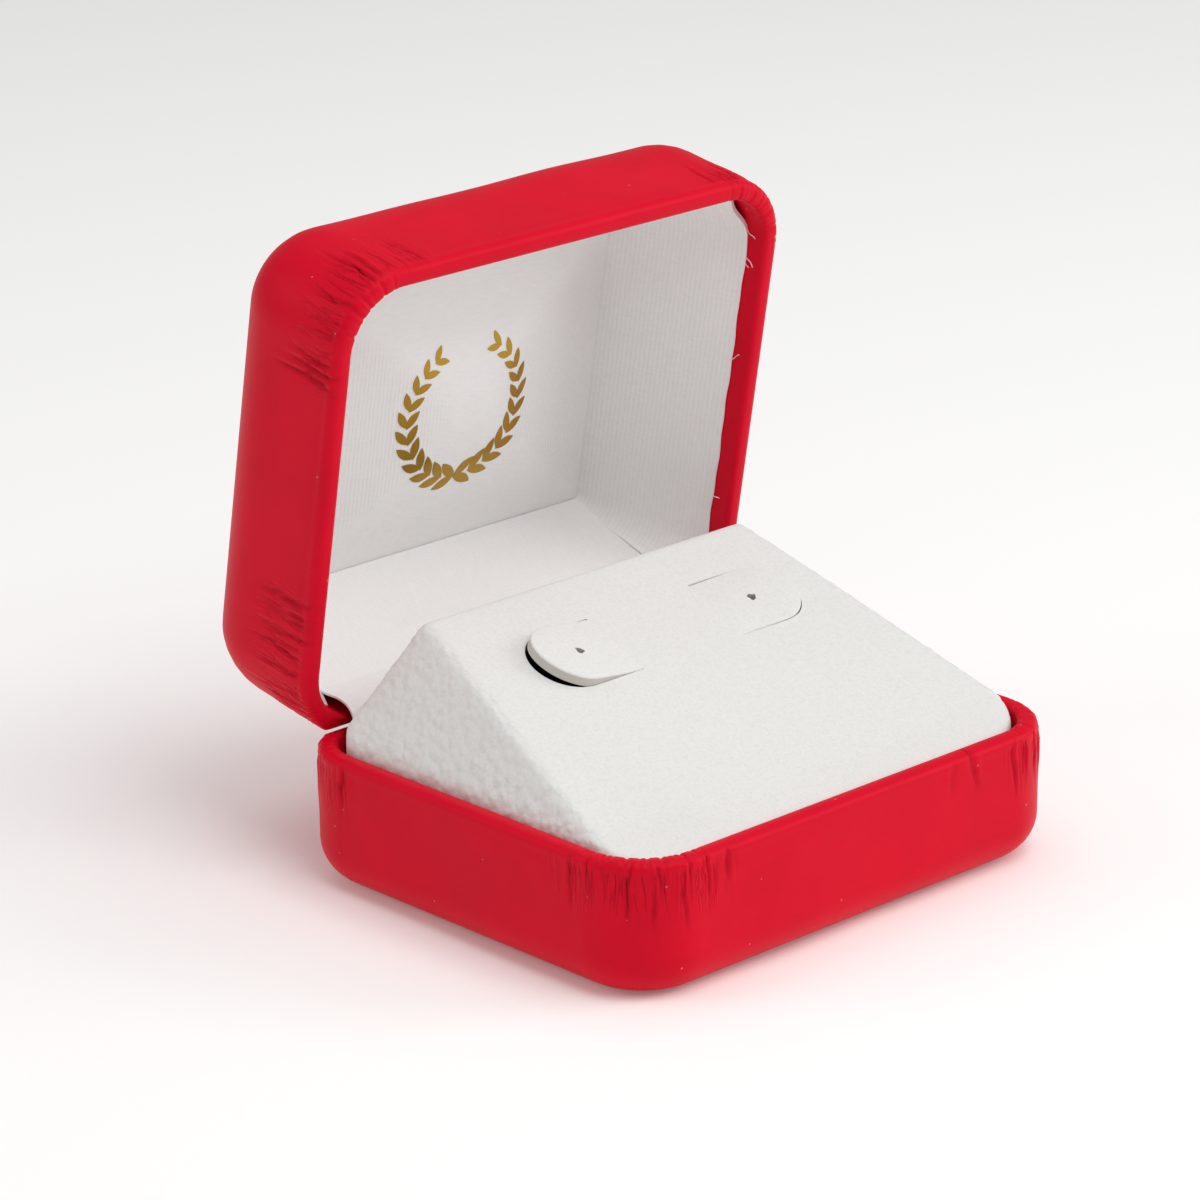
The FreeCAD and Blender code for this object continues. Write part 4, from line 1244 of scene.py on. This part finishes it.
class JEWELBOX_OT_stage(bpy.types.Operator):
    """Plain pale floor, soft studio light and the camera"""
    bl_idname = "jewelbox.stage"
    bl_label = "Stage"

    def execute(self, context):
        floor = new_piece("floor", bpy.ops.mesh.primitive_plane_add, size=4.0, location=(0, 0, 0))
        finish(floor, "pale_paper_floor")
        white = (1.0, 1.0, 1.0, 1.0)
        world = bpy.data.worlds.new("studio")
        context.scene.world = world
        world.use_nodes = True
        background = world.node_tree.nodes["Background"]
        background.inputs["Color"].default_value = white
        background.inputs["Strength"].default_value = 0.3
        paper = bpy.data.materials["pale_paper_floor"].node_tree.nodes["Principled BSDF"]
        paper.inputs["Emission Color"].default_value = white
        paper.inputs["Emission Strength"].default_value = 0.1
        aim = Vector((0, 0, 0.02))
        # Each light: name, place, size in metres and power in watts.
        lights = [("overhead", (0.05, 0.05, 0.75), 0.7, 1.4), ("front", (0.0, -0.4, 0.65), 0.5, 2.3),
                  ("left_back", (-0.6, 0.45, 0.4), 0.4, 0.9), ("right_front", (0.65, -0.5, 0.35), 0.4, 2.1)]
        for name, place, size, power in lights:
            bpy.ops.object.light_add(type="AREA", location=place)
            lamp = context.object
            lamp.name = name
            lamp.data.size = size
            lamp.data.energy = power
            lamp.rotation_euler = (aim - Vector(place)).to_track_quat("-Z", "Y").to_euler()
        self.camera(context)
        context.scene.view_settings.view_transform = "Standard"
        return {"FINISHED"}

    def camera(self, context):
        """A long lens, turned to the left of the box and looking down on it."""
        azimuth, elevation, roll = math.radians(-43.546), math.radians(19.473), math.radians(-0.515)
        target, distance = Vector((0, 0, 31.74 * MM)), 502.244 * MM
        back = Vector((math.sin(azimuth) * math.cos(elevation), -math.cos(azimuth) * math.cos(elevation),
                       math.sin(elevation)))
        right = Vector((math.cos(azimuth), math.sin(azimuth), 0))
        up = back.cross(right)
        turned_right = math.cos(roll) * right + math.sin(roll) * up
        turned_up = -math.sin(roll) * right + math.cos(roll) * up
        aside, down = 7.774 * MM, 3.763 * MM
        place = target + back * distance - turned_right * aside - turned_up * down
        bpy.ops.object.camera_add(location=place)
        camera = context.object
        camera.name = "camera"
        camera.rotation_euler = Matrix((turned_right, turned_up, back)).transposed().to_euler()
        camera.data.sensor_width = 36.0
        camera.data.lens = 152.92
        context.scene.camera = camera


class JEWELBOX_PT_panel(bpy.types.Panel):
    """Sizes, colours and pieces of the jewellery box"""
    bl_label = "Jewellery Box"
    bl_idname = "JEWELBOX_PT_panel"
    bl_space_type = "VIEW_3D"
    bl_region_type = "UI"
    bl_category = "Jewellery Box"

    def draw(self, context):
        for group in (context.scene.jewelbox_sizes, context.scene.jewelbox_insert,
                      context.scene.jewelbox_lining, context.scene.jewelbox_colours):
            box = self.layout.box()
            for name in group.__annotations__:
                box.prop(group, name, text=name.replace("_", " ").capitalize())
        for operator in OPERATORS:
            self.layout.operator(operator.bl_idname)


GROUPS = {
    "jewelbox_sizes": JewelleryBoxSizes,
    "jewelbox_insert": JewelleryBoxInsert,
    "jewelbox_lining": JewelleryBoxLining,
    "jewelbox_colours": JewelleryBoxColours,
}
OPERATORS = (
    JEWELBOX_OT_metal_and_board,
    JEWELBOX_OT_base_leatherette,
    JEWELBOX_OT_lid_leatherette,
    JEWELBOX_OT_insert,
    JEWELBOX_OT_flaps,
    JEWELBOX_OT_puffed_panel,
    JEWELBOX_OT_lining_walls,
    JEWELBOX_OT_hinge_satin,
    JEWELBOX_OT_foil_wreath,
    JEWELBOX_OT_stage,
)


def register():
    for name, group in GROUPS.items():
        bpy.utils.register_class(group)
        setattr(bpy.types.Scene, name, bpy.props.PointerProperty(type=group))
    for operator in OPERATORS:
        bpy.utils.register_class(operator)
    bpy.utils.register_class(JEWELBOX_PT_panel)


def unregister():
    bpy.utils.unregister_class(JEWELBOX_PT_panel)
    for operator in reversed(OPERATORS):
        bpy.utils.unregister_class(operator)
    for name, group in GROUPS.items():
        delattr(bpy.types.Scene, name)
        bpy.utils.unregister_class(group)


def main():
    register()
    bpy.ops.jewelbox.metal_and_board()
    bpy.ops.jewelbox.base_leatherette()
    bpy.ops.jewelbox.lid_leatherette()
    bpy.ops.jewelbox.insert()
    bpy.ops.jewelbox.flaps()
    bpy.ops.jewelbox.puffed_panel()
    bpy.ops.jewelbox.lining_walls()
    bpy.ops.jewelbox.hinge_satin()
    bpy.ops.jewelbox.foil_wreath()
    bpy.ops.jewelbox.stage()


if __name__ == "__main__":
    main()
